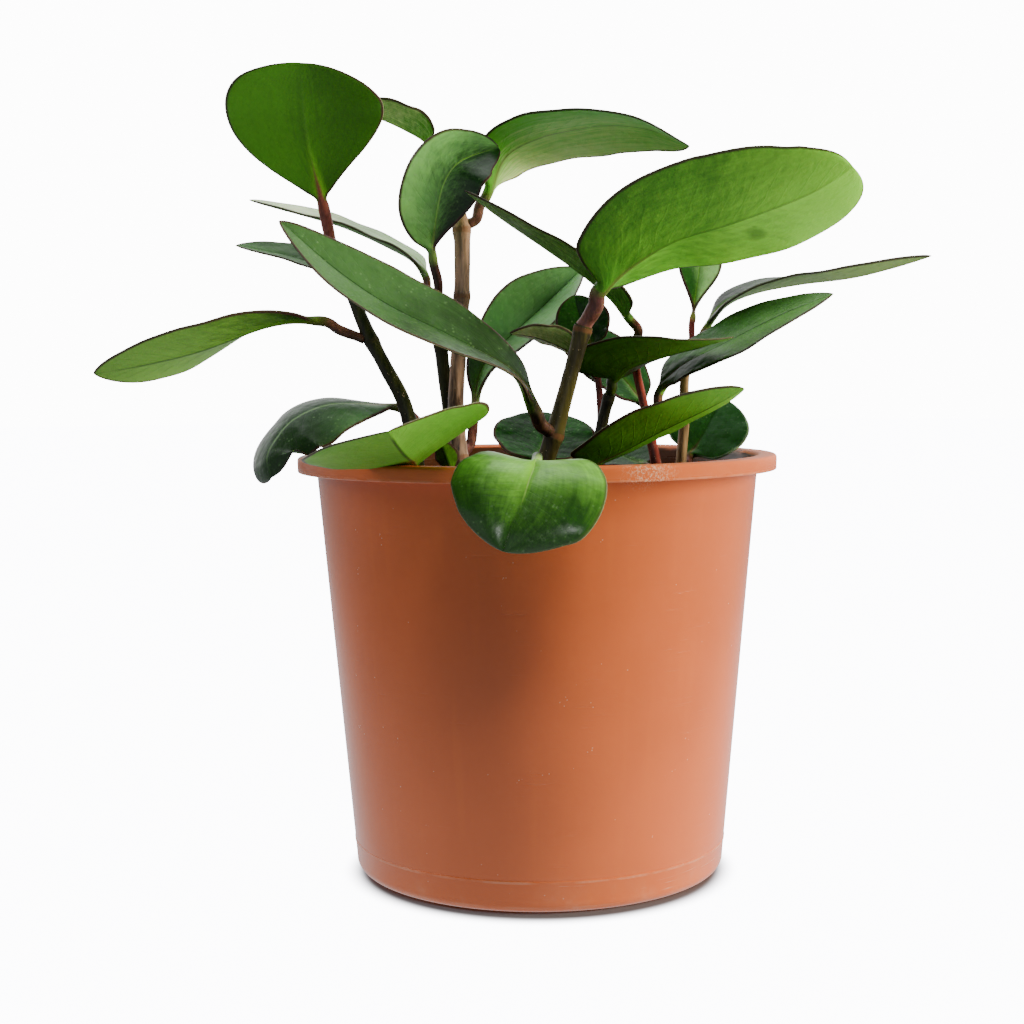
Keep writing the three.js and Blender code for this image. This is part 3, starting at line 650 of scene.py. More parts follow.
def line_mesh(name, path, attributes):
    """A line of edges in metres, with one value or vector at each of its points."""
    mesh = bpy.data.meshes.new(name)
    mesh.from_pydata([point * MM for point in path], [(i, i + 1) for i in range(len(path) - 1)], [])
    for label, values in attributes.items():
        kind = "FLOAT_VECTOR" if isinstance(values[0], Vector) else "FLOAT"
        data = mesh.attributes.new(label, kind, "POINT").data
        for item, value in zip(data, values):
            if kind == "FLOAT":
                item.value = value
            else:
                item.vector = value
    return mesh


def attribute_in(tree, name, kind="FLOAT"):
    node = new_node(tree, "GeometryNodeInputNamedAttribute", {"data_type": kind}, Name=name)
    return Wire(node.outputs["Attribute"])


def store(geometry, name, value):
    return then("GeometryNodeStoreNamedAttribute", geometry, {"data_type": "FLOAT", "domain": "POINT"},
                Name=name, Value=value)


def stem_tree():
    """Draws a round skin along the stem's line, thicker at the joints, and slightly lumpy."""
    tree, wire, exit_node = growth_tree("stem_growth", {
        "Sides": 24, "Step": 0.0006, "Joint swelling": 0.16, "Lumps": 0.00012, "Lump scale": 260.0,
    })
    line = then("GeometryNodeMeshToCurve", wire["Geometry"])
    line = then("GeometryNodeResampleCurve", line, {"mode": "LENGTH"}, Length=wire["Step"])
    radius = attribute_in(tree, "thickness") * (attribute_in(tree, "joint") * wire["Joint swelling"] + 1.0)
    circle = new_node(tree, "GeometryNodeCurvePrimitiveCircle", Resolution=wire["Sides"], Radius=1.0)
    tube = new_node(
        tree, "GeometryNodeCurveToMesh", Curve=line, Profile_Curve=Wire(circle.outputs[0]), Scale=radius,
        Fill_Caps=True,
    )
    place = Wire(tree.nodes.new("GeometryNodeInputPosition").outputs[0])
    normal = Wire(tree.nodes.new("GeometryNodeInputNormal").outputs[0])
    lumps = noise_at(stretched(place, 1.0, 1.0, 0.4), wire["Lump scale"], 2.0)
    offset = vector_maths("SCALE", normal, (lumps - 0.5) * wire["Lumps"] * 2.0)
    skin = then("GeometryNodeSetPosition", Wire(tube.outputs[0]), Offset=offset)
    skin = then("GeometryNodeSetShadeSmooth", skin)
    close_tree(skin, wire["Material"], exit_node)
    return tree


def stem_marks_tree():
    """The skin of a stem or stalk: lengthwise streaks, corky specks and a pale ring at each joint."""
    inputs = {
        "Vector": "NodeSocketVector", "Joint": 0.0, "Dark": (0.1, 0.1, 0.1, 1.0),
        "Light": (0.2, 0.2, 0.2, 1.0), "Ring": (0.4, 0.25, 0.15, 1.0), "Specks": 0.5,
    }
    outputs = {"Color": "NodeSocketColor", "Roughness": "NodeSocketFloat", "Height": "NodeSocketFloat"}
    tree, wire, exit_node = new_tree("stem_marks", "ShaderNodeTree", inputs, outputs)
    place = wire["Vector"]
    streaks = noise_at(stretched(place, 900.0, 900.0, 60.0), 1.0, 4.0, 0.6)
    blotches = noise_at(stretched(place, 1.0, 1.0, 0.35), 220.0, 3.0)
    colour = mix_colours(ramp(streaks * 0.5 + blotches * 0.5, 0.36, 0.64), wire["Dark"], wire["Light"])
    speck = ramp(cells_at(place, 1100.0), 0.12, 0.2, 1.0, 0.0) * ramp(noise_at(place, 300.0, 1.0), 0.5, 0.6)
    colour = mix_colours(speck * wire["Specks"], colour, (0.42, 0.34, 0.22))
    ring = ramp(wire["Joint"] + (blotches - 0.5) * 0.5, 0.72, 0.95)
    colour = mix_colours(ring * 0.7, colour, wire["Ring"])
    feed(exit_node.inputs["Color"], colour)
    feed(exit_node.inputs["Roughness"], 0.4 + streaks * 0.16 + ring * 0.2)
    feed(exit_node.inputs["Height"], streaks * 0.6 + speck * 0.6 - ring * 0.4)
    return tree


stem_marks = stem_marks_tree()


def attribute(tree, name):
    node = new_node(tree, "ShaderNodeAttribute", {"attribute_type": "GEOMETRY", "attribute_name": name})
    return Wire(node.outputs["Fac"])


def stem_skin(name, colours):
    material, shader, place = new_material(name)
    tree = material.node_tree
    marks = new_node(tree, "ShaderNodeGroup", {"node_tree": stem_marks}, Vector=place)
    feed(marks.inputs["Joint"], attribute(tree, "joint"))
    for label in ("Dark", "Light", "Ring"):
        marks.inputs[label].default_value = (*colours[label.lower()], 1.0)
    feed(shader.inputs["Base Color"], Wire(marks.outputs["Color"]))
    feed(shader.inputs["Roughness"], Wire(marks.outputs["Roughness"]))
    shader.inputs["Specular IOR Level"].default_value = 0.35
    shader.inputs["Subsurface Weight"].default_value = 0.1
    shader.inputs["Subsurface Radius"].default_value = (0.0015, 0.001, 0.0005)
    bump(shader, Wire(marks.outputs["Height"]), 0.00015)
    return material


growing_stem = stem_tree()
for name, stem in STEMS.items():
    path = smooth_path(stem["points"])
    radii = []
    for step in range(len(path)):
        place = step / PATH_STEPS
        low = min(int(place), len(stem["radii"]) - 2)
        radii.append(stem["radii"][low] + (stem["radii"][low + 1] - stem["radii"][low]) * (place - low))
    stem["path"] = path
    stem["path_radii"] = radii
    joints = [
        max(math.exp(-(((point.z - height) / JOINT_LENGTH) ** 2)) for height in stem["rings"])
        for point in path
    ]
    below = path[0] - Vector((0, 0, STEM_DEPTH))
    skin = add_piece(f"stem_{name}_skin", line_mesh(
        f"stem_{name}_skin", [below] + path,
        {"thickness": [radius * MM for radius in [radii[0]] + radii], "joint": [0.0] + joints},
    ))
    grow(skin, growing_stem, {"Material": stem_skin(f"stem_{name}_skin", stem)})
    settle(skin, [f"stem_{name}"])

# --- leaves -------------------------------------------------------------------------------------
# Twenty-six thick, smooth-edged leaves on short stalks. The upper side is waxy and dark green with a
# sunken rib, the underside is matt and lighter, and a thin red-brown line runs round the margin.

# A leaf's "face" is the way its upper side looks from base to tip, "fold" and "cup" bend its left and right
# halves in degrees, and "widest" is the share of its length where it is broadest. Its "look" says what
# differs from the inputs of leaf_marks, among them the painted light and shade along the leaf and across its
# halves.
LEAVES = [
    {"name": "leaf_fan", "stem": "left", "from": 170, "stalk": [(-56, -1, 175)], "thick": 1.6,
     "rib": [(-56.8, -2.5, 180), (-59, -9, 192), (-60, -17, 204), (-59, -27, 214)],
     "width": 41.5, "widest": 0.64, "base": 0.95, "blunt": 0.54, "face": [(0, 1, 0.3), (0, 0.7, 0.7)],
     "fold": (1, 1), "cup": (6, 6), "groove": 0.1,
     "look": {"Under": (0.048, 0.19, 0.01), "Under pale": (0.15, 0.56, 0.02), "Tip painted light": 0.1,
     "Left painted light": -0.6, "Glow colour": (0.3, 0.8, 0.03), "Rib strength": 0.35, "Rib": (0.14, 0.42, 0.05),
     "Rib reach": 0.85, "Mottle": 0.15, "Glow": 0.9, "Vein": 0.0, "Red rib": 1.0,
     "Stalk": (0.11, 0.02, 0.016), "Stalk pale": (0.34, 0.1, 0.07)}},
    {"name": "leaf_left_long", "stem": "left", "from": 144, "stalk": [(-53, -1, 147)], "thick": 1.4,
     "rib": [(-58, -3, 149.5), (-71, -8, 148.5), (-89, -12, 142), (-103, -14, 138.5), (-117, -15, 136)],
     "width": 21, "widest": 0.56, "base": 0.9, "blunt": 0.7, "face": [(0, 0.5, 0.85), (0, 0.62, 0.78)],
     "fold": (2, 55), "tip_fold": (2, -14), "cup": (4, 4),
     "look": {"Under": (0.0144, 0.06, 0.0042), "Under pale": (0.234, 0.558, 0.072), "Tip painted light": 1.4,
     "Mottle": 0.4, "Stalk": (0.05, 0.022, 0.014), "Stalk pale": (0.16, 0.07, 0.04)}},
    {"name": "leaf_front_long", "stem": "front", "from": 119, "stalk": [(0.6, -29, 122)], "thick": 1.8,
     "rib": [(-0.8, -31, 125.5), (-6.5, -34, 135.5), (-21, -38, 144), (-37, -42, 152), (-50, -44, 161),
     (-63.5, -44, 173)],
     "width": 26, "widest": 0.48, "base": 0.85, "blunt": 0.72, "face": [(0.6, -0.25, 0.7),
     (0.5, -0.5, 0.65), (0.4, -0.65, 0.6)], "fold": (10, 10), "cup": (12, 8),
     "look": {"Upper": (0.006, 0.018, 0.004), "Upper pale": (0.063, 0.159, 0.044), "Tip painted light": 1.5,
     "Glow": 0.0, "Gloss": 0.4, "Rib strength": 0.8, "Stalk": (0.035, 0.02, 0.01),
     "Stalk pale": (0.1, 0.05, 0.03)}},
    {"name": "leaf_big_right", "stem": "front", "from": 147, "stalk": [(15, -27, 152)], "thick": 2.1,
     "rib": [(16, -28, 156), (23, -31, 161.5), (34, -35, 168), (48.7, -38, 172.3), (63, -42, 177.2),
     (70.5, -45, 180.6), (76.8, -48, 184.4)],
     "width": 42, "widest": 0.64, "widest_right": 0.46, "base": 0.66, "blunt": 0.38, "lobe": 7,
     "face": [(-0.25, 0.57, 0.78), (-0.35, 0.57, 0.78)], "fold": (9, 12), "tip_fold": (-8, 12),
     "cup": (10, 20),
     "look": {"Under": (0.086, 0.357, 0.025), "Under pale": (0.36, 0.95, 0.08), "Rib strength": 0.4,
     "Tip painted light": 0.95, "Left painted light": 0.16, "Mottle": 0.5, "Vein": 0.1, "Stalk": (0.1, 0.035, 0.028),
     "Stalk pale": (0.26, 0.11, 0.09), "Glow": 0.2}},
    {"name": "leaf_top_right", "stem": "tall", "from": 175, "stalk": [(-16, 6, 177), (-15, 8, 181)],
     "thick": 1.5, "rib": [(-13, 9, 184), (-8, 8, 194.5), (1, 4, 199), (10, -1, 200.5), (20, -6, 201),
     (31, -10, 199), (40.5, -14, 194)],
     "width": 27, "widest": 0.44, "base": 0.85, "blunt": 0.6, "face": [(-0.4, 0.6, 0.7),
     (-0.1, 0.4, 0.9), (0.3, 0.25, 0.9)], "fold": (4, 6), "tip_fold": (-22, -20), "cup": (-4, 4),
     "look": {"Under": (0.188, 0.653, 0.063), "Under pale": (0.8, 1.0, 0.45), "Tip painted light": 0.4,
     "Rib strength": 0.3, "Left painted light": 0.4, "Mottle": 0.3, "Streaks": 1.1, "Stalk": (0.06, 0.028, 0.018),
     "Stalk pale": (0.2, 0.09, 0.06), "Glow": 0.2}},
    {"name": "leaf_upright", "stem": "second", "from": 155, "stalk": [(-26.5, 3, 160)], "thick": 1.3,
     "rib": [(-27.8, 1, 166.5), (-27, -2, 174), (-25.4, -4.5, 182.5), (-23.4, -5, 187.5),
     (-20.5, -4.5, 191), (-16, -2, 193.5), (-9.5, 0, 195.5)],
     "width": 23, "widest": 0.44, "widest_right": 0.62, "base": 1.3, "blunt": 0.58,
     "face": [(0.1, -0.95, 0.3), (0, -0.9, 0.4), (-0.1, -0.75, 0.6)], "fold": (5, 9), "tip_fold": (42, 6),
     "cup": (14, 10),
     "look": {"Tip painted light": -0.3, "Upper": (0.008, 0.045, 0.006), "Upper pale": (0.24, 0.6, 0.15),
     "Rib": (0.36, 0.7, 0.14), "Mottle": 1.5, "Rib strength": 0.9, "Glow": 0.3, "Gloss": 0.3,
     "Polish": 0.2, "Left painted light": 0.85, "Stalk": (0.04, 0.015, 0.012), "Stalk pale": (0.14, 0.05, 0.04)}},
    {"name": "leaf_left_upper", "stem": "second", "from": 152, "stalk": [(-29.6, 7.5, 156.5)],
     "thick": 1.1, "rib": [(-30, 8, 161.5), (-33.5, 9.5, 166.5), (-41, 12, 170.8), (-50, 13, 175),
     (-58, 13, 177.8), (-78.7, 10, 183.3)],
     "width": 17, "widest": 0.4, "base": 0.42, "blunt": 0.7, "face": [(0.45, -0.12, 0.85),
     (0.45, -0.2, 0.85)], "fold": (6, 6), "cup": (8, 8),
     "look": {"Upper": (0.136, 0.34, 0.085), "Upper pale": (0.78, 1.0, 0.585), "Tip painted light": 0.9,
     "Left painted light": 0.2, "Mottle": 0.3, "Streaks": 1.1, "Gloss": 0.5}},
    {"name": "leaf_left_behind", "stem": "second", "from": 143, "stalk": [(-31, 10, 147)], "thick": 1.1,
     "rib": [(-37, 13, 152), (-49, 15, 159.5), (-64, 14, 166.5), (-83, 12, 171)],
     "width": 19, "widest": 0.5, "blunt": 0.7, "face": [(0.3, -0.3, 0.9), (0.3, -0.35, 0.9)],
     "fold": (8, 8), "cup": (8, 8),
     "look": {"Upper": (0.03, 0.1, 0.02), "Upper pale": (0.1, 0.26, 0.07), "Gloss": 0.05, "Shine": 0.1}},
    {"name": "leaf_top_small", "stem": "tall", "from": 197, "stalk": [(-27, 7, 199)], "thick": 1.2,
     "rib": [(-27.5, 6, 197.5), (-33, 4, 200.5), (-41, 0, 203.8), (-50, -2, 206)],
     "width": 20, "widest": 0.45, "base": 0.8, "blunt": 0.6, "face": [(0.4, 0.3, 0.85), (0.3, 0.3, 0.9)],
     "fold": (12, 56), "tip_fold": (12, 4), "cup": (8, 8),
     "look": {"Under": (0.12, 0.4, 0.03), "Under pale": (0.8, 1.0, 0.42), "Stalk": (0.2, 0.03, 0.02),
     "Streaks": 1.0, "Stalk pale": (0.42, 0.12, 0.08)}},
    {"name": "leaf_centre_back", "stem": "tall", "from": 112, "stalk": [(-18, 5, 116)], "thick": 1.4,
     "rib": [(-17, 9, 125), (-15, 13, 136), (-7.5, 18, 144.5), (3, 24, 154), (14.5, 30, 165)],
     "width": 24, "widest": 0.62, "blunt": 0.8, "lobe": 0, "face": [(-0.2, -0.8, 0.3), (-0.3, -0.7, 0.6)],
     "fold": (26, 26), "cup": (4, 4),
     "look": {"Upper": (0.068, 0.216, 0.054), "Upper pale": (0.2, 0.44, 0.15), "Left painted light": -0.3,
     "Rib strength": 0.8}},
    {"name": "leaf_middle_thin", "stem": "red", "from": 144, "stalk": [(28.5, 7.5, 146.5)], "thick": 1.3,
     "rib": [(26, 5.5, 149.5), (21.5, 1, 154.5), (13.5, -5, 161), (3, -11, 168), (-8, -16.5, 175),
     (-18.5, -19, 182.5)],
     "width": 22, "widest": 0.45, "blunt": 0.75, "face": [(0.45, 0.05, 0.9), (0.45, 0, 0.9)],
     "fold": (10, 10), "cup": (8, 8),
     "look": {"Under": (0.05, 0.2, 0.016), "Under pale": (0.42, 0.75, 0.22), "Tip painted light": 0.0,
     "Streaks": 0.9}},
    {"name": "leaf_flat_middle", "stem": "dark", "from": 129, "stalk": [(20.5, -3, 131)], "thick": 1.5,
     "rib": [(21, -4, 133.5), (26, -9, 137), (37, -15, 140.5), (51, -22, 144)],
     "width": 38, "widest": 0.42, "blunt": 0.75, "lobe": 10, "face": [(-0.3, 0.2, 0.95),
     (-0.1, 0.1, 0.95)], "fold": (6, 28), "tip_fold": (4, -8), "cup": (4, 6),
     "look": {"Under": (0.018, 0.078, 0.006), "Under pale": (0.15, 0.46, 0.04), "Tip painted light": 0.9,
     "Mottle": 0.2, "Glow": 0.3, "Stalk": (0.02, 0.035, 0.006), "Stalk pale": (0.09, 0.16, 0.02)}},
    {"name": "leaf_right_low", "stem": "front", "from": 107, "stalk": [(8, -29, 109)], "thick": 1.6,
     "rib": [(11.5, -31, 111), (21, -35, 115.5), (31, -40, 121), (41, -45, 126), (50.3, -48.5, 131)],
     "width": 26, "widest": 0.46, "blunt": 0.6, "lobe": 6, "face": [(-0.36, 0.4, 0.82),
     (-0.3, 0.4, 0.82)], "fold": (8, 8), "cup": (10, 10),
     "look": {"Under": (0.022, 0.11, 0.006), "Under pale": (0.14, 0.45, 0.03), "Tip painted light": 1.1,
     "Mottle": 0.3, "Rib strength": 0.8, "Glow": 0.1}},
    {"name": "leaf_right", "stem": "red", "from": 119, "stalk": [(34, 4, 123)], "thick": 1.3,
     "rib": [(33.8, 3.5, 129), (39.5, 2.5, 136), (51.5, -1, 142.5), (65.3, -4, 149.5), (79.7, -7, 155.5)],
     "width": 27, "widest": 0.45, "base": 0.85, "blunt": 0.75, "face": [(-0.33, -0.36, 0.87),
     (-0.33, -0.36, 0.87)], "fold": (4, 4), "cup": (4, 4),
     "look": {"Upper": (0.018, 0.085, 0.01), "Upper pale": (0.13, 0.32, 0.07), "Tip painted light": 0.5,
     "Left painted light": -0.3, "Gloss": 0.06, "Rib strength": 0.8}},
    {"name": "leaf_pale_small", "stem": "sprout", "from": 133, "stalk": [(14, 7, 137)], "thick": 0.8,
     "rib": [(12, 7, 139.5), (7, 3, 142.5), (0, -1, 145), (-7, -4, 146)],
     "width": 14, "widest": 0.5, "blunt": 0.7, "lobe": 0, "face": [(0.2, 0.4, 0.9), (0.2, 0.4, 0.9)],
     "fold": (10, 10), "cup": (10, 10),
     "look": {"Upper": (0.3, 0.5, 0.2), "Upper pale": (0.8, 1.0, 0.6), "Under": (0.34, 0.6, 0.2),
     "Under pale": (0.85, 1.0, 0.6), "Streaks": 1.0, "Glow": 0.0}},
    {"name": "leaf_small_round", "stem": "sprout", "from": 136, "stalk": [(17, 10, 139)], "thick": 0.8,
     "rib": [(16, 11, 142), (14, 11, 146.5), (12, 11, 152), (11, 11, 156.5)],
     "width": 16, "widest": 0.5, "blunt": 0.6, "face": [(0, -0.9, 0.4), (0, -0.9, 0.4)], "fold": (8, 8),
     "cup": (8, 8),
     "look": {"Upper": (0.004, 0.03, 0.004), "Upper pale": (0.03, 0.14, 0.02), "Mottle": 1.5,
     "Gloss": 0.5, "Polish": 0.12, "Shine": 0.1}},
    {"name": "leaf_behind_long", "stem": "red", "from": 117, "stalk": [(33, 12, 121)], "thick": 1.1,
     "rib": [(31, 15, 125), (24, 19, 134), (14, 22, 143), (3, 25, 151)],
     "width": 20, "widest": 0.45, "blunt": 0.75, "lobe": 0, "face": [(0.3, -0.75, 0.55),
     (0.3, -0.75, 0.55)], "fold": (6, 6), "cup": (6, 6),
     "look": {"Upper": (0.012, 0.06, 0.012), "Upper pale": (0.03, 0.12, 0.03)}},
    {"name": "leaf_low_behind", "stem": "red", "from": 106, "stalk": [(33, 11, 107.5)], "thick": 1.1,
     "rib": [(31, 14, 108.5), (27, 21, 110), (22, 28, 112), (16, 34, 114)],
     "width": 20, "widest": 0.5, "blunt": 0.65, "face": [(0, -0.5, 0.85), (0, -0.5, 0.85)],
     "fold": (6, 6), "cup": (6, 6),
     "look": {"Upper": (0.006, 0.03, 0.006), "Upper pale": (0.016, 0.07, 0.014), "Gloss": 0.05,
     "Shine": 0.05}},
    {"name": "leaf_rim_right", "stem": "tan", "from": 107, "stalk": [(43, 18, 109)], "thick": 1.3,
     "rib": [(44, 20, 111), (47.5, 22, 116), (51, 25, 121.5), (54.5, 28, 127)],
     "width": 26, "widest": 0.5, "blunt": 0.6, "face": [(-0.2, -0.8, 0.6), (-0.2, -0.8, 0.6)],
     "fold": (6, 6), "cup": (6, 6),
     # This leaf's pale grey-green margin is a painted highlight along its edge.
     "look": {"Upper": (0.01, 0.065, 0.01), "Upper pale": (0.026, 0.14, 0.026), "Margin": (0.2, 0.3, 0.2),
     "Gloss": 0.12, "Shine": 0.08, "Rib strength": 0.2, "Glow": 0.1}},
    {"name": "leaf_small_upright", "stem": "tan", "from": 144, "stalk": [(44, 15, 148)], "thick": 0.9,
     "rib": [(44.3, 15, 150), (45.4, 17, 157), (46.6, 19, 164.5), (46.7, 22, 171)],
     "width": 13, "widest": 0.7, "base": 0.9, "blunt": 0.7, "lobe": 0, "face": [(0, -0.85, 0.5),
     (0, -0.85, 0.5)], "fold": (10, 10), "cup": (14, 14),
     # Its pale upper colour is raised to near white-green as a painted highlight, laid on one half by its
     # painted light.
     "look": {"Upper": (0.024, 0.119, 0.017), "Upper pale": (0.544, 1.0, 0.306),
     "Stalk": (0.25, 0.035, 0.03), "Glow": 0.4, "Gloss": 0.8, "Polish": 0.14, "Left painted light": -1.0,
     "Stalk pale": (0.5, 0.12, 0.1), "Rib": (0.2, 0.5, 0.04)}},
    {"name": "leaf_far_right", "stem": "tan", "from": 141, "stalk": [(46, 14, 143.5)], "thick": 1,
     "rib": [(47.8, 13.5, 147), (53, 12.5, 153.5), (61, 11.5, 157), (73, 9.5, 159.2), (89, 5, 161),
     (107.5, 0, 165.8)],
     "width": 20, "widest": 0.4, "blunt": 0.75, "lobe": 0, "face": [(-0.3, -0.25, 0.9),
     (-0.2, 0.35, 0.9)], "fold": (10, 10), "cup": (6, 6),
     "look": {"Upper": (0.0048, 0.018, 0.0036), "Upper pale": (0.06, 0.13, 0.05),
     "Under pale": (0.3, 0.52, 0.16), "Stalk": (0.12, 0.12, 0.03), "Stalk pale": (0.3, 0.2, 0.08),
     "Tip painted light": 1.0, "Under": (0.06, 0.156, 0.024), "Gloss": 0.25, "Margin": (0.04, 0.018, 0.02)}},
    {"name": "leaf_heart", "stem": "front", "from": 106, "stalk": [(0, -34, 110), (-0.5, -50, 114.6)],
     "thick": 1.3, "rib": [(-1, -63.5, 113.8), (-2.5, -70, 110.8), (-4.5, -74.5, 105.3), (-7, -77.5, 100),
     (-9, -79, 94.5)],
     "width": 38, "widest": 0.46, "base": 0.78, "blunt": 0.6, "lobe": 8, "face": [(-0.05, -0.3, 1),
     (-0.05, -0.85, 0.5)], "fold": (14, 24), "cup": (-36, -46),
     "look": {"Upper": (0.017, 0.078, 0.0084), "Upper pale": (0.276, 0.72, 0.078), "Tip painted light": -0.75,
     "Left painted light": 0.05, "Glow colour": (0.24, 0.62, 0.03), "Stalk": (0.01, 0.022, 0.005),
     "Stalk pale": (0.03, 0.07, 0.012), "Rib": (0.45, 0.75, 0.16), "Rib strength": 0.9, "Rib reach": 0.5,
     "Glow": 1.3, "Mottle": 0.7, "Gloss": 0.55, "Red rib": 0.0, "Margin": (0.05, 0.09, 0.02)}},
    {"name": "leaf_over_rim", "stem": "left", "from": 107, "stalk": [(-33, -18, 110), (-32, -38, 114.4)],
     "thick": 1.3, "rib": [(-30.5, -49, 114), (-32, -61, 116), (-33.6, -74, 119.4), (-34.5, -85, 122.6)],
     "width": 46, "widest": 0.34, "widest_right": 0.6, "base": 0.42, "blunt": 0.78, "lobe": 5,
     "face": [(-0.25, 0.15, 0.94), (-0.25, 0.3, 0.94)], "fold": (15, 5), "cup": (4, 4),
     "look": {"Under": (0.068, 0.25, 0.016), "Under pale": (0.18, 0.5, 0.05), "Tip painted light": 0.2,
     "Mottle": 0.2, "Rib strength": 0.8, "Glow": 0.0}},
    {"name": "leaf_left_drooping", "stem": "second", "from": 119, "stalk": [(-31, 8, 120.5)],
     "thick": 1.3, "rib": [(-37, 7, 125.4), (-46, 5, 126.6), (-57, 2, 126.6), (-66, -1, 122.8),
     (-71, -3.5, 117), (-72.8, -6, 112.5), (-71.3, -8.5, 107.6)],
     "width": 30, "widest": 0.62, "base": 0.9, "blunt": 0.45, "face": [(0, -0.38, 0.92),
     (-0.3, -0.6, 0.75), (-0.62, -0.7, 0.3), (-0.5, -0.85, 0.1)], "fold": (0, -12), "cup": (-10, -34),
     "look": {"Upper": (0.012, 0.045, 0.01), "Upper pale": (0.09, 0.2, 0.08), "Rib": (0.2, 0.34, 0.14),
     "Gloss": 0.2, "Glow": 0.1, "Tip painted light": -1.0, "Left painted light": 0.2}},
    {"name": "leaf_round_back", "stem": "front", "from": 107, "stalk": [(0, -14, 109)], "thick": 1.3,
     "rib": [(0, -3, 111), (1.6, 6, 114.5), (3.2, 14, 119), (4.5, 22, 123.5)],
     "width": 29, "widest": 0.5, "blunt": 0.6, "lobe": 2, "face": [(0, -0.6, 0.8), (0, -0.75, 0.65)],
     "fold": (5, 5), "cup": (5, 5),
     "look": {"Upper": (0.003, 0.026, 0.003), "Upper pale": (0.022, 0.15, 0.014), "Mottle": 1.8,
     "Gloss": 0.07, "Polish": 0.12, "Shine": 0.04}},
    {"name": "leaf_bud_low", "stem": "tall", "from": 106, "stalk": [(-22, -6, 108)], "thick": 0.8,
     "rib": [(-23, -8, 109.5), (-24, -10, 112), (-25, -11, 115), (-26, -12, 117)],
     "width": 7, "widest": 0.45, "blunt": 0.7, "lobe": 0, "face": [(0, 0.9, 0.4), (0, 0.9, 0.4)],
     "fold": (20, 20), "cup": (8, 8),
     "look": {"Under": (0.03, 0.1, 0.006), "Under pale": (0.1, 0.28, 0.02)}},
]
LEAF_BUILD = {"Rows": 92, "Columns": 48, "Stalk rows": 0.2, "Half thickness": 0.55 * MM,
"Ripple": 0.2 * MM}
GROOVE = 0.32
SEED_STEP = 1.7
STALK_SINK = {"top": 0.6, "side": 0.55}


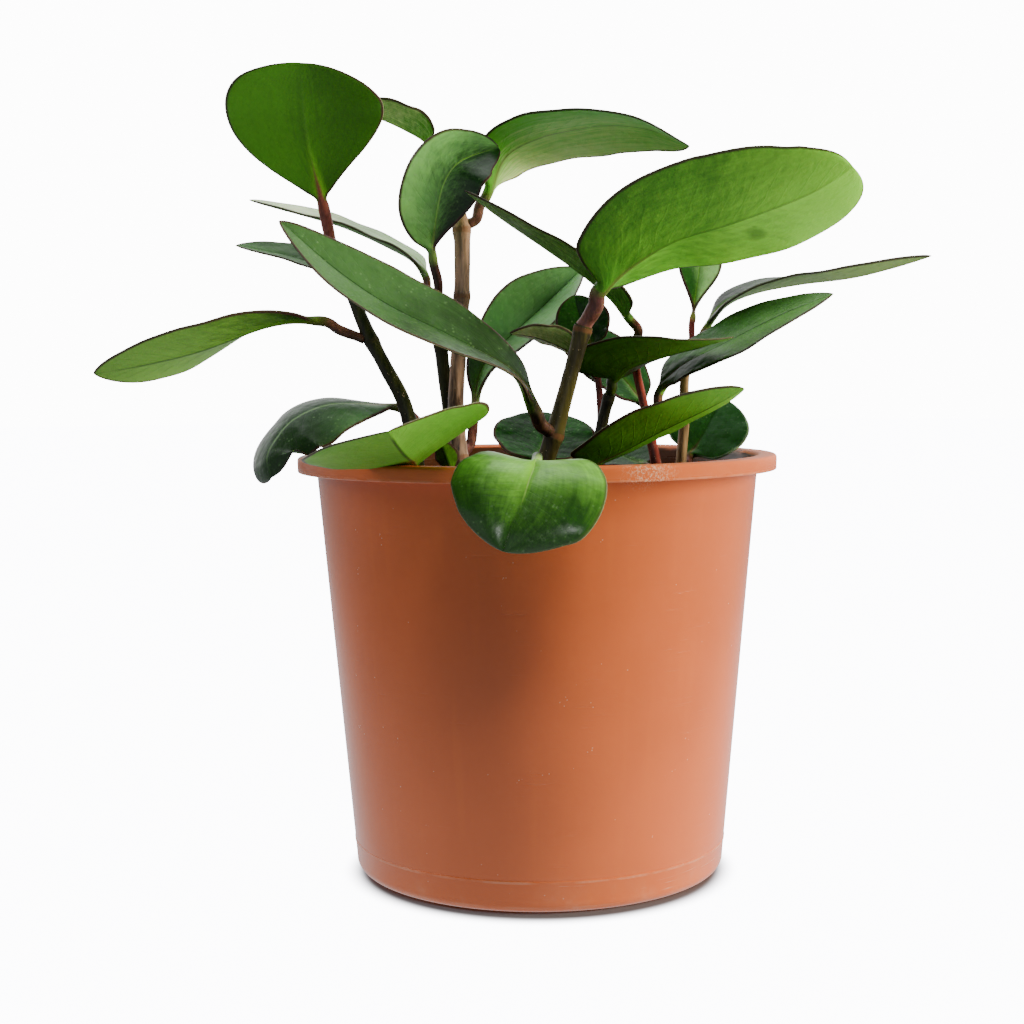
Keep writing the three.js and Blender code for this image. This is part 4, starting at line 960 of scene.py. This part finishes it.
def leaf_tree():
    """Grows a stalk and blade along a middle line: a round stalk that flattens into two curved halves."""
    tree, wire, exit_node = growth_tree("leaf_growth", {
        "Rows": 60, "Columns": 40, "Stalk rows": 0.2, "Blade start": 0.2, "Stalk radius": 0.0012,
        "Half width": 0.012, "Stretch": 1.0, "Right stretch": 1.0, "Bluntness": 0.7, "Base bluntness": 0.7,
        "Lobe": 0.001, "Half thickness": 0.0005, "Fold left": 0.1, "Fold right": 0.1, "Tip fold left": 0.1,
        "Tip fold right": 0.1, "Cup left": 0.1, "Cup right": 0.1, "Groove": 0.0003, "Ripple": 0.0002,
        "Seed": 0.0,
    })
    grid = new_node(tree, "GeometryNodeMeshGrid", Size_X=1.0, Size_Y=1.0, Vertices_X=wire["Rows"])
    feed(grid.inputs["Vertices Y"], wire["Columns"] + 1.0)
    flat_place = split(Wire(tree.nodes.new("GeometryNodeInputPosition").outputs[0]))
    row = flat_place[0] + 0.5
    turn = flat_place[1]

    # Along the leaf: first the stalk's rows, then the blade's, closer together at both its ends.
    stalk = maths("MINIMUM", row / wire["Stalk rows"], 1.0)
    reach = maths("MAXIMUM", (row - wire["Stalk rows"]) / (1.0 - wire["Stalk rows"]), 0.0)
    v = 0.5 - maths("COSINE", reach * math.pi) * 0.5
    u = wire["Blade start"] * stalk + (1.0 - wire["Blade start"]) * v
    line = then("GeometryNodeMeshToCurve", wire["Geometry"])
    by_share = {"data_type": "FLOAT_VECTOR", "mode": "FACTOR"}
    sample = new_node(tree, "GeometryNodeSampleCurve", by_share, Curves=line, Factor=u)
    feed(sample.inputs["Value"], attribute_in(tree, "face", "FLOAT_VECTOR"))
    centre = Wire(sample.outputs["Position"])
    along = Wire(sample.outputs["Tangent"])
    face = Wire(sample.outputs["Value"])
    lean = vector_maths("SCALE", along, vector_maths("DOT_PRODUCT", face, along))
    up = vector_maths("NORMALIZE", vector_maths("SUBTRACT", face, lean))
    left = vector_maths("CROSS_PRODUCT", up, along)

    # Round the section: s is the share of the half-width, closer at the rib and at the margin.
    t = maths("ABSOLUTE", turn) * 4.0 - 1.0
    hand = maths("SIGN", t)
    size = maths("ABSOLUTE", t)
    s = size * size * (3.0 - size * 2.0)
    side = maths("SIGN", turn)
    round_height = maths("SQRT", maths("MAXIMUM", 1.0 - s * s, 0.0))

    # The blade: an outline that swells and narrows, and halves that fold and cup.
    is_left = maths("GREATER_THAN", t, 0.0)
    stretch = wire["Right stretch"] + (wire["Stretch"] - wire["Right stretch"]) * is_left
    swell = maths("MAXIMUM", maths("SINE", v ** stretch * math.pi), 0.0)
    past_base = ramp(v, 0.0, 0.6, 0.0, 1.0, "LINEAR")
    bluntness = wire["Base bluntness"] + (wire["Bluntness"] - wire["Base bluntness"]) * past_base
    half = wire["Half width"] * swell ** bluntness
    fold_left = wire["Fold left"] + (wire["Tip fold left"] - wire["Fold left"]) * v
    fold_right = wire["Fold right"] + (wire["Tip fold right"] - wire["Fold right"]) * v
    fold = fold_right + (fold_left - fold_right) * is_left
    cup = wire["Cup right"] + (wire["Cup left"] - wire["Cup right"]) * is_left
    slope = fold + cup * s
    sideways = half * (maths("SINE", slope) - maths("SINE", fold)) / cup
    upward = half * (maths("COSINE", fold) - maths("COSINE", slope)) / cup
    closing = maths("SQRT", maths("MAXIMUM", 1.0 - v ** 24.0, 0.0))
    lift = side * round_height ** 0.4 * wire["Half thickness"] * (1.0 - v * 0.4) * closing
    from_rib = s * half / (0.0011 - v * 0.0006)
    groove = maths("EXPONENT", from_rib * from_rib * -1.0) * wire["Groove"] * (1.0 - v * 0.7) * closing
    long_wave = maths("SINE", v * 17.0 + wire["Seed"] + hand)
    wave = long_wave + maths("SINE", v * 31.0 + wire["Seed"] * 2.0 - hand) * 0.5
    ripple = wave * wire["Ripple"] * s * s * swell
    blade_left = hand * (sideways - lift * maths("SINE", slope))
    blade_up = upward + lift * maths("COSINE", slope) - groove + ripple
    back = wire["Lobe"] * s * s * ramp(v, 0.0, 0.7, 1.0, 0.0)

    # The stalk: round, a little thicker where it leaves the stem, closed by its first row.
    foot = maths("EXPONENT", stalk * stalk * -60.0) * 0.22
    first_row = maths("MINIMUM", row * (wire["Rows"] - 1.0), 1.0)
    stalk_radius = wire["Stalk radius"] * (ramp(stalk, 0.0, 0.5, 0.84, 1.0) + foot) * first_row
    blend = ramp(v, 0.0, 0.14)
    round_left = stalk_radius * hand * s
    round_up = stalk_radius * side * round_height
    to_left = round_left + (blade_left - round_left) * blend
    to_up = round_up + (blade_up - round_up) * blend
    place = vector_maths("ADD", centre, vector_maths("SCALE", left, to_left))
    place = vector_maths("ADD", place, vector_maths("SCALE", up, to_up))
    place = vector_maths("ADD", place, vector_maths("SCALE", along, back * blend * -1.0))

    # What the markings follow: place along, place across, side, and millimetres to rib and margin.
    skin = store(Wire(grid.outputs[0]), "along", v + stalk - 1.0)
    skin = store(skin, "across", hand * s)
    skin = store(skin, "upper", side * maths("MINIMUM", round_height * 3.0, 1.0) * 0.5 + 0.5)
    skin = store(skin, "from_edge", (1.0 - s) * half * 1000.0)
    skin = store(skin, "from_rib", s * half * 1000.0)
    skin = then("GeometryNodeSetPosition", skin, Position=place)
    skin = then("GeometryNodeMergeByDistance", skin, Distance=0.000001)
    skin = then("GeometryNodeSetShadeSmooth", skin)
    close_tree(skin, wire["Material"], exit_node)
    return tree


def leaf_marks_tree():
    """The markings of a leaf's two sides, its rib, veins, margin and stalk, with painted light and shade
    along it and across its halves.
    """
    inputs = {
        "Vector": "NodeSocketVector", "Along": 0.0, "Across": 0.0, "Upper side": 0.0, "From edge": 0.0,
        "From rib": 0.0, "Seed": 0.0, "Tip painted light": 0.3, "Left painted light": 0.0, "Mottle": 0.5, "Vein": 0.3,
        "Upper": (0.02, 0.1, 0.014, 1.0), "Upper pale": (0.07, 0.23, 0.04, 1.0),
        "Under": (0.06, 0.22, 0.012, 1.0), "Under pale": (0.2, 0.55, 0.05, 1.0),
        "Glow": 0.4, "Glow colour": (0.16, 0.5, 0.012, 1.0), "Rib": (0.008, 0.04, 0.005, 1.0),
        "Rib strength": 0.6, "Rib reach": 0.9, "Margin": (0.06, 0.018, 0.022, 1.0),
        "Stalk": (0.08, 0.025, 0.016, 1.0), "Stalk pale": (0.26, 0.1, 0.07, 1.0),
        "Red rib": 0.35, "Gloss": 0.45, "Streaks": 0.3,
    }
    outputs = {label: "NodeSocketFloat" for label in ("Roughness", "Wax", "Height")}
    outputs["Color"] = "NodeSocketColor"
    tree, wire, exit_node = new_tree("leaf_marks", "ShaderNodeTree", inputs, outputs)
    place = wire["Vector"]
    v = maths("MAXIMUM", wire["Along"], 0.0)
    s = maths("ABSOLUTE", wire["Across"])
    upper = wire["Upper side"]
    stalk = ramp(wire["Along"] + (noise_at(place, 300.0, 2.0) - 0.5) * 0.1, -0.22, 0.07, 1.0, 0.0)

    # Side veins leave the rib at a slant and bend towards the tip.
    wander = noise_at(place, 90.0, 2.0) - 0.5
    vein_place = (v - s ** 0.8 * 0.24) * 13.0 + wander * 0.7 + wire["Seed"]
    vein = ramp(maths("PINGPONG", vein_place, 0.5), 0.0, 0.07, 1.0, 0.0)
    vein = vein * ramp(s, 0.45, 0.85, 1.0, 0.0) * ramp(v, 0.04, 0.15) * wire["Vein"]
    hand = maths("SIGN", wire["Across"])
    field = join(vein_place * 1.3, s * 4.0 + hand * 9.0, wire["Seed"])
    mottle = (noise_at(field, 1.5, 5.0, 0.6, 0.3) - 0.5) * wire["Mottle"]
    streak = noise_at(join(v * 4.0 + wire["Seed"], s * 26.0 + hand * 9.0, s), 1.0, 3.0) - 0.5
    cloud = noise_at(place, 42.0, 2.0) - 0.5
    # Painted light and shade: the colour is made lighter or darker towards the tip and on one half, as light
    # falls on each leaf; the streaks add the leaf's own lengthwise tone.
    lit = (v - 0.35) * wire["Tip painted light"] + wire["Across"] * wire["Left painted light"] + streak * wire["Streaks"]

    share_up = maths("ADD", lit + cloud * 1.2 + mottle * 0.5, 0.4)
    colour_up = mix_colours(ramp(share_up, 0.0, 1.0), wire["Upper"], wire["Upper pale"])
    share_down = maths("ADD", lit + cloud * 0.7 + mottle * 1.6, 0.42)
    colour_down = mix_colours(ramp(share_down, 0.0, 1.0), wire["Under"], wire["Under pale"])
    colour_down = mix_colours(vein * 0.5, colour_down, wire["Under"])

    # The rib: a fine line, with a wider pale glow towards the base.
    rib_end = ramp(v - wire["Rib reach"], -0.15, 0.1, 1.0, 0.0)
    rib_line = ramp(wire["From rib"], 0.12, 0.5, 1.0, 0.0) * rib_end * wire["Rib strength"]
    glow = ramp(wire["From rib"] + v * 5.0 - streak * 1.5, 0.2, 3.4, 1.0, 0.0) * wire["Glow"]
    colour = mix_colours(upper, colour_down, colour_up)
    colour = mix_colours(glow, colour, wire["Glow colour"])
    colour = mix_colours(rib_line, colour, wire["Rib"])
    red_rib = ramp(wire["From rib"] + v * 4.5, 0.6, 1.7, 1.0, 0.0) * wire["Red rib"]
    colour = mix_colours(red_rib, colour, wire["Stalk pale"])
    blemish = ramp(noise_at(place, 75.0, 1.0), 0.72, 0.8)
    colour = mix_colours(blemish * 0.4, colour, wire["Rib"])

    # The margin: a thin red-brown line on both faces and a paler edge between. The upper side has
    # tiny pale pearls of dried sap on it.
    margin_wander = noise_at(place, 400.0, 1.0) * 0.3
    margin = ramp(wire["From edge"] + margin_wander, 0.55, 1.15, 1.0, 0.0) * ramp(v, 0.01, 0.1)
    edge = ramp(maths("ABSOLUTE", upper - 0.5), 0.05, 0.2, 1.0, 0.0) * ramp(v, 0.01, 0.1)
    colour = mix_colours(margin * 0.92, colour, wire["Margin"])
    colour = mix_colours(edge * 0.7, colour, (0.2, 0.24, 0.13))
    pearls = ramp(cells_at(place, 620.0), 0.1, 0.26, 1.0, 0.0) * ramp(noise_at(place, 170.0, 2.0), 0.42, 0.62)
    colour = mix_colours(pearls * upper * 0.3, colour, (0.24, 0.42, 0.18))
    grain = noise_at(stretched(place, 500.0, 500.0, 120.0), 1.0, 3.0)
    stalk_colour = mix_colours(ramp(grain, 0.35, 0.75), wire["Stalk"], wire["Stalk pale"])
    colour = mix_colours(stalk, colour, stalk_colour)

    feed(exit_node.inputs["Color"], colour)
    waxy = upper * (1.0 - stalk)
    feed(exit_node.inputs["Roughness"], 0.5 - waxy * 0.12 + cloud * 0.1)
    feed(exit_node.inputs["Wax"], waxy * (1.0 + cloud * 0.5) * wire["Gloss"] + stalk * 0.4)
    pebbles = cells_at(place, 380.0)
    height_up = pebbles * -0.5 + noise_at(place, 200.0, 3.0) * 1.1 - vein * 0.3
    height_down = mottle * 0.6 + vein * 0.6 + noise_at(place, 800.0, 2.0) * 0.25
    feed(exit_node.inputs["Height"], height_down + (height_up - height_down) * upper + grain * stalk * 0.6)
    return tree


leaf_marks = leaf_marks_tree()


def leaf_skin(name, look, seed):
    """Waxy green skin. A look sets the markings, "Shine" the bare skin and "Polish" the wax on it."""
    material, shader, place = new_material(name)
    tree = material.node_tree
    marks = new_node(tree, "ShaderNodeGroup", {"node_tree": leaf_marks}, Vector=place, Seed=seed)
    for slot, label in (
        ("Along", "along"), ("Across", "across"), ("Upper side", "upper"),
        ("From edge", "from_edge"), ("From rib", "from_rib"),
    ):
        feed(marks.inputs[slot], attribute(tree, label))
    for label, value in look.items():
        if label not in ("Shine", "Polish"):
            marks.inputs[label].default_value = (*value, 1.0) if isinstance(value, tuple) else value
    feed(shader.inputs["Base Color"], Wire(marks.outputs["Color"]))
    feed(shader.inputs["Roughness"], Wire(marks.outputs["Roughness"]))
    shader.inputs["Specular IOR Level"].default_value = look.get("Shine", 0.2)
    feed(shader.inputs["Coat Weight"], Wire(marks.outputs["Wax"]))
    shader.inputs["Coat Roughness"].default_value = look.get("Polish", 0.24)
    shader.inputs["Coat IOR"].default_value = 1.45
    shader.inputs["Subsurface Weight"].default_value = 0.3
    shader.inputs["Subsurface Radius"].default_value = (0.0008, 0.0016, 0.0003)
    bump(shader, Wire(marks.outputs["Height"]), 0.0004)
    return material


def stalk_foot(stem, leaf):
    """Where a stalk starts: just inside the stem's skin, or its flat top where it carries on from it."""
    path = stem["path"]
    nearest = min(range(len(path)), key=lambda step: abs(path[step].z - leaf["from"]))
    away = (Vector(leaf["stalk"][0]) - path[nearest]).normalized()
    if nearest == len(path) - 1:
        return path[nearest] - away * STALK_SINK["top"]
    ahead = (path[nearest + 1] - path[nearest]).normalized()
    slant = math.sqrt(1 - away.dot(ahead) ** 2)
    return path[nearest] + away * (STALK_SINK["side"] * stem["path_radii"][nearest] / slant)


growing_leaf = leaf_tree()
for number, leaf in enumerate(LEAVES):
    corners = [stalk_foot(STEMS[leaf["stem"]], leaf)] + leaf["stalk"] + leaf["rib"]
    path = smooth_path(corners)
    lengths = [0.0]
    for here, there in zip(path, path[1:]):
        lengths.append(lengths[-1] + (there - here).length)
    blade_step = PATH_STEPS * (len(leaf["stalk"]) + 1)
    blade_start = lengths[blade_step] / lengths[-1]
    looks_to = [Vector(direction).normalized() for direction in leaf["face"]]
    faces = []
    for length in lengths:
        share = max(length / lengths[-1] - blade_start, 0) / (1 - blade_start) * (len(looks_to) - 1)
        low = min(int(share), len(looks_to) - 2)
        faces.append(looks_to[low].lerp(looks_to[low + 1], share - low))
    piece_name = f"{leaf['name']}_blade"
    blade = add_piece(piece_name, line_mesh(piece_name, path, {"face": faces}))
    bends = {}
    for label, key in (("Fold", "fold"), ("Tip fold", "tip_fold"), ("Cup", "cup")):
        angles = leaf.get(key, leaf["fold"])
        bends[f"{label} left"], bends[f"{label} right"] = (math.radians(angle) for angle in angles)
    seed = number * SEED_STEP
    grow(blade, growing_leaf, {
        **LEAF_BUILD, **bends, "Material": leaf_skin(piece_name, leaf["look"], seed), "Seed": seed,
        "Blade start": blade_start, "Stalk radius": leaf["thick"] * MM, "Half width": leaf["width"] / 2 * MM,
        "Stretch": math.log(0.5) / math.log(leaf["widest"]),
        "Right stretch": math.log(0.5) / math.log(leaf.get("widest_right", leaf["widest"])),
        "Bluntness": leaf["blunt"], "Base bluntness": leaf.get("base", leaf["blunt"]),
        "Lobe": leaf.get("lobe", 1) * MM, "Groove": leaf.get("groove", GROOVE) * MM,
    })
    settle(blade, [leaf["name"]])
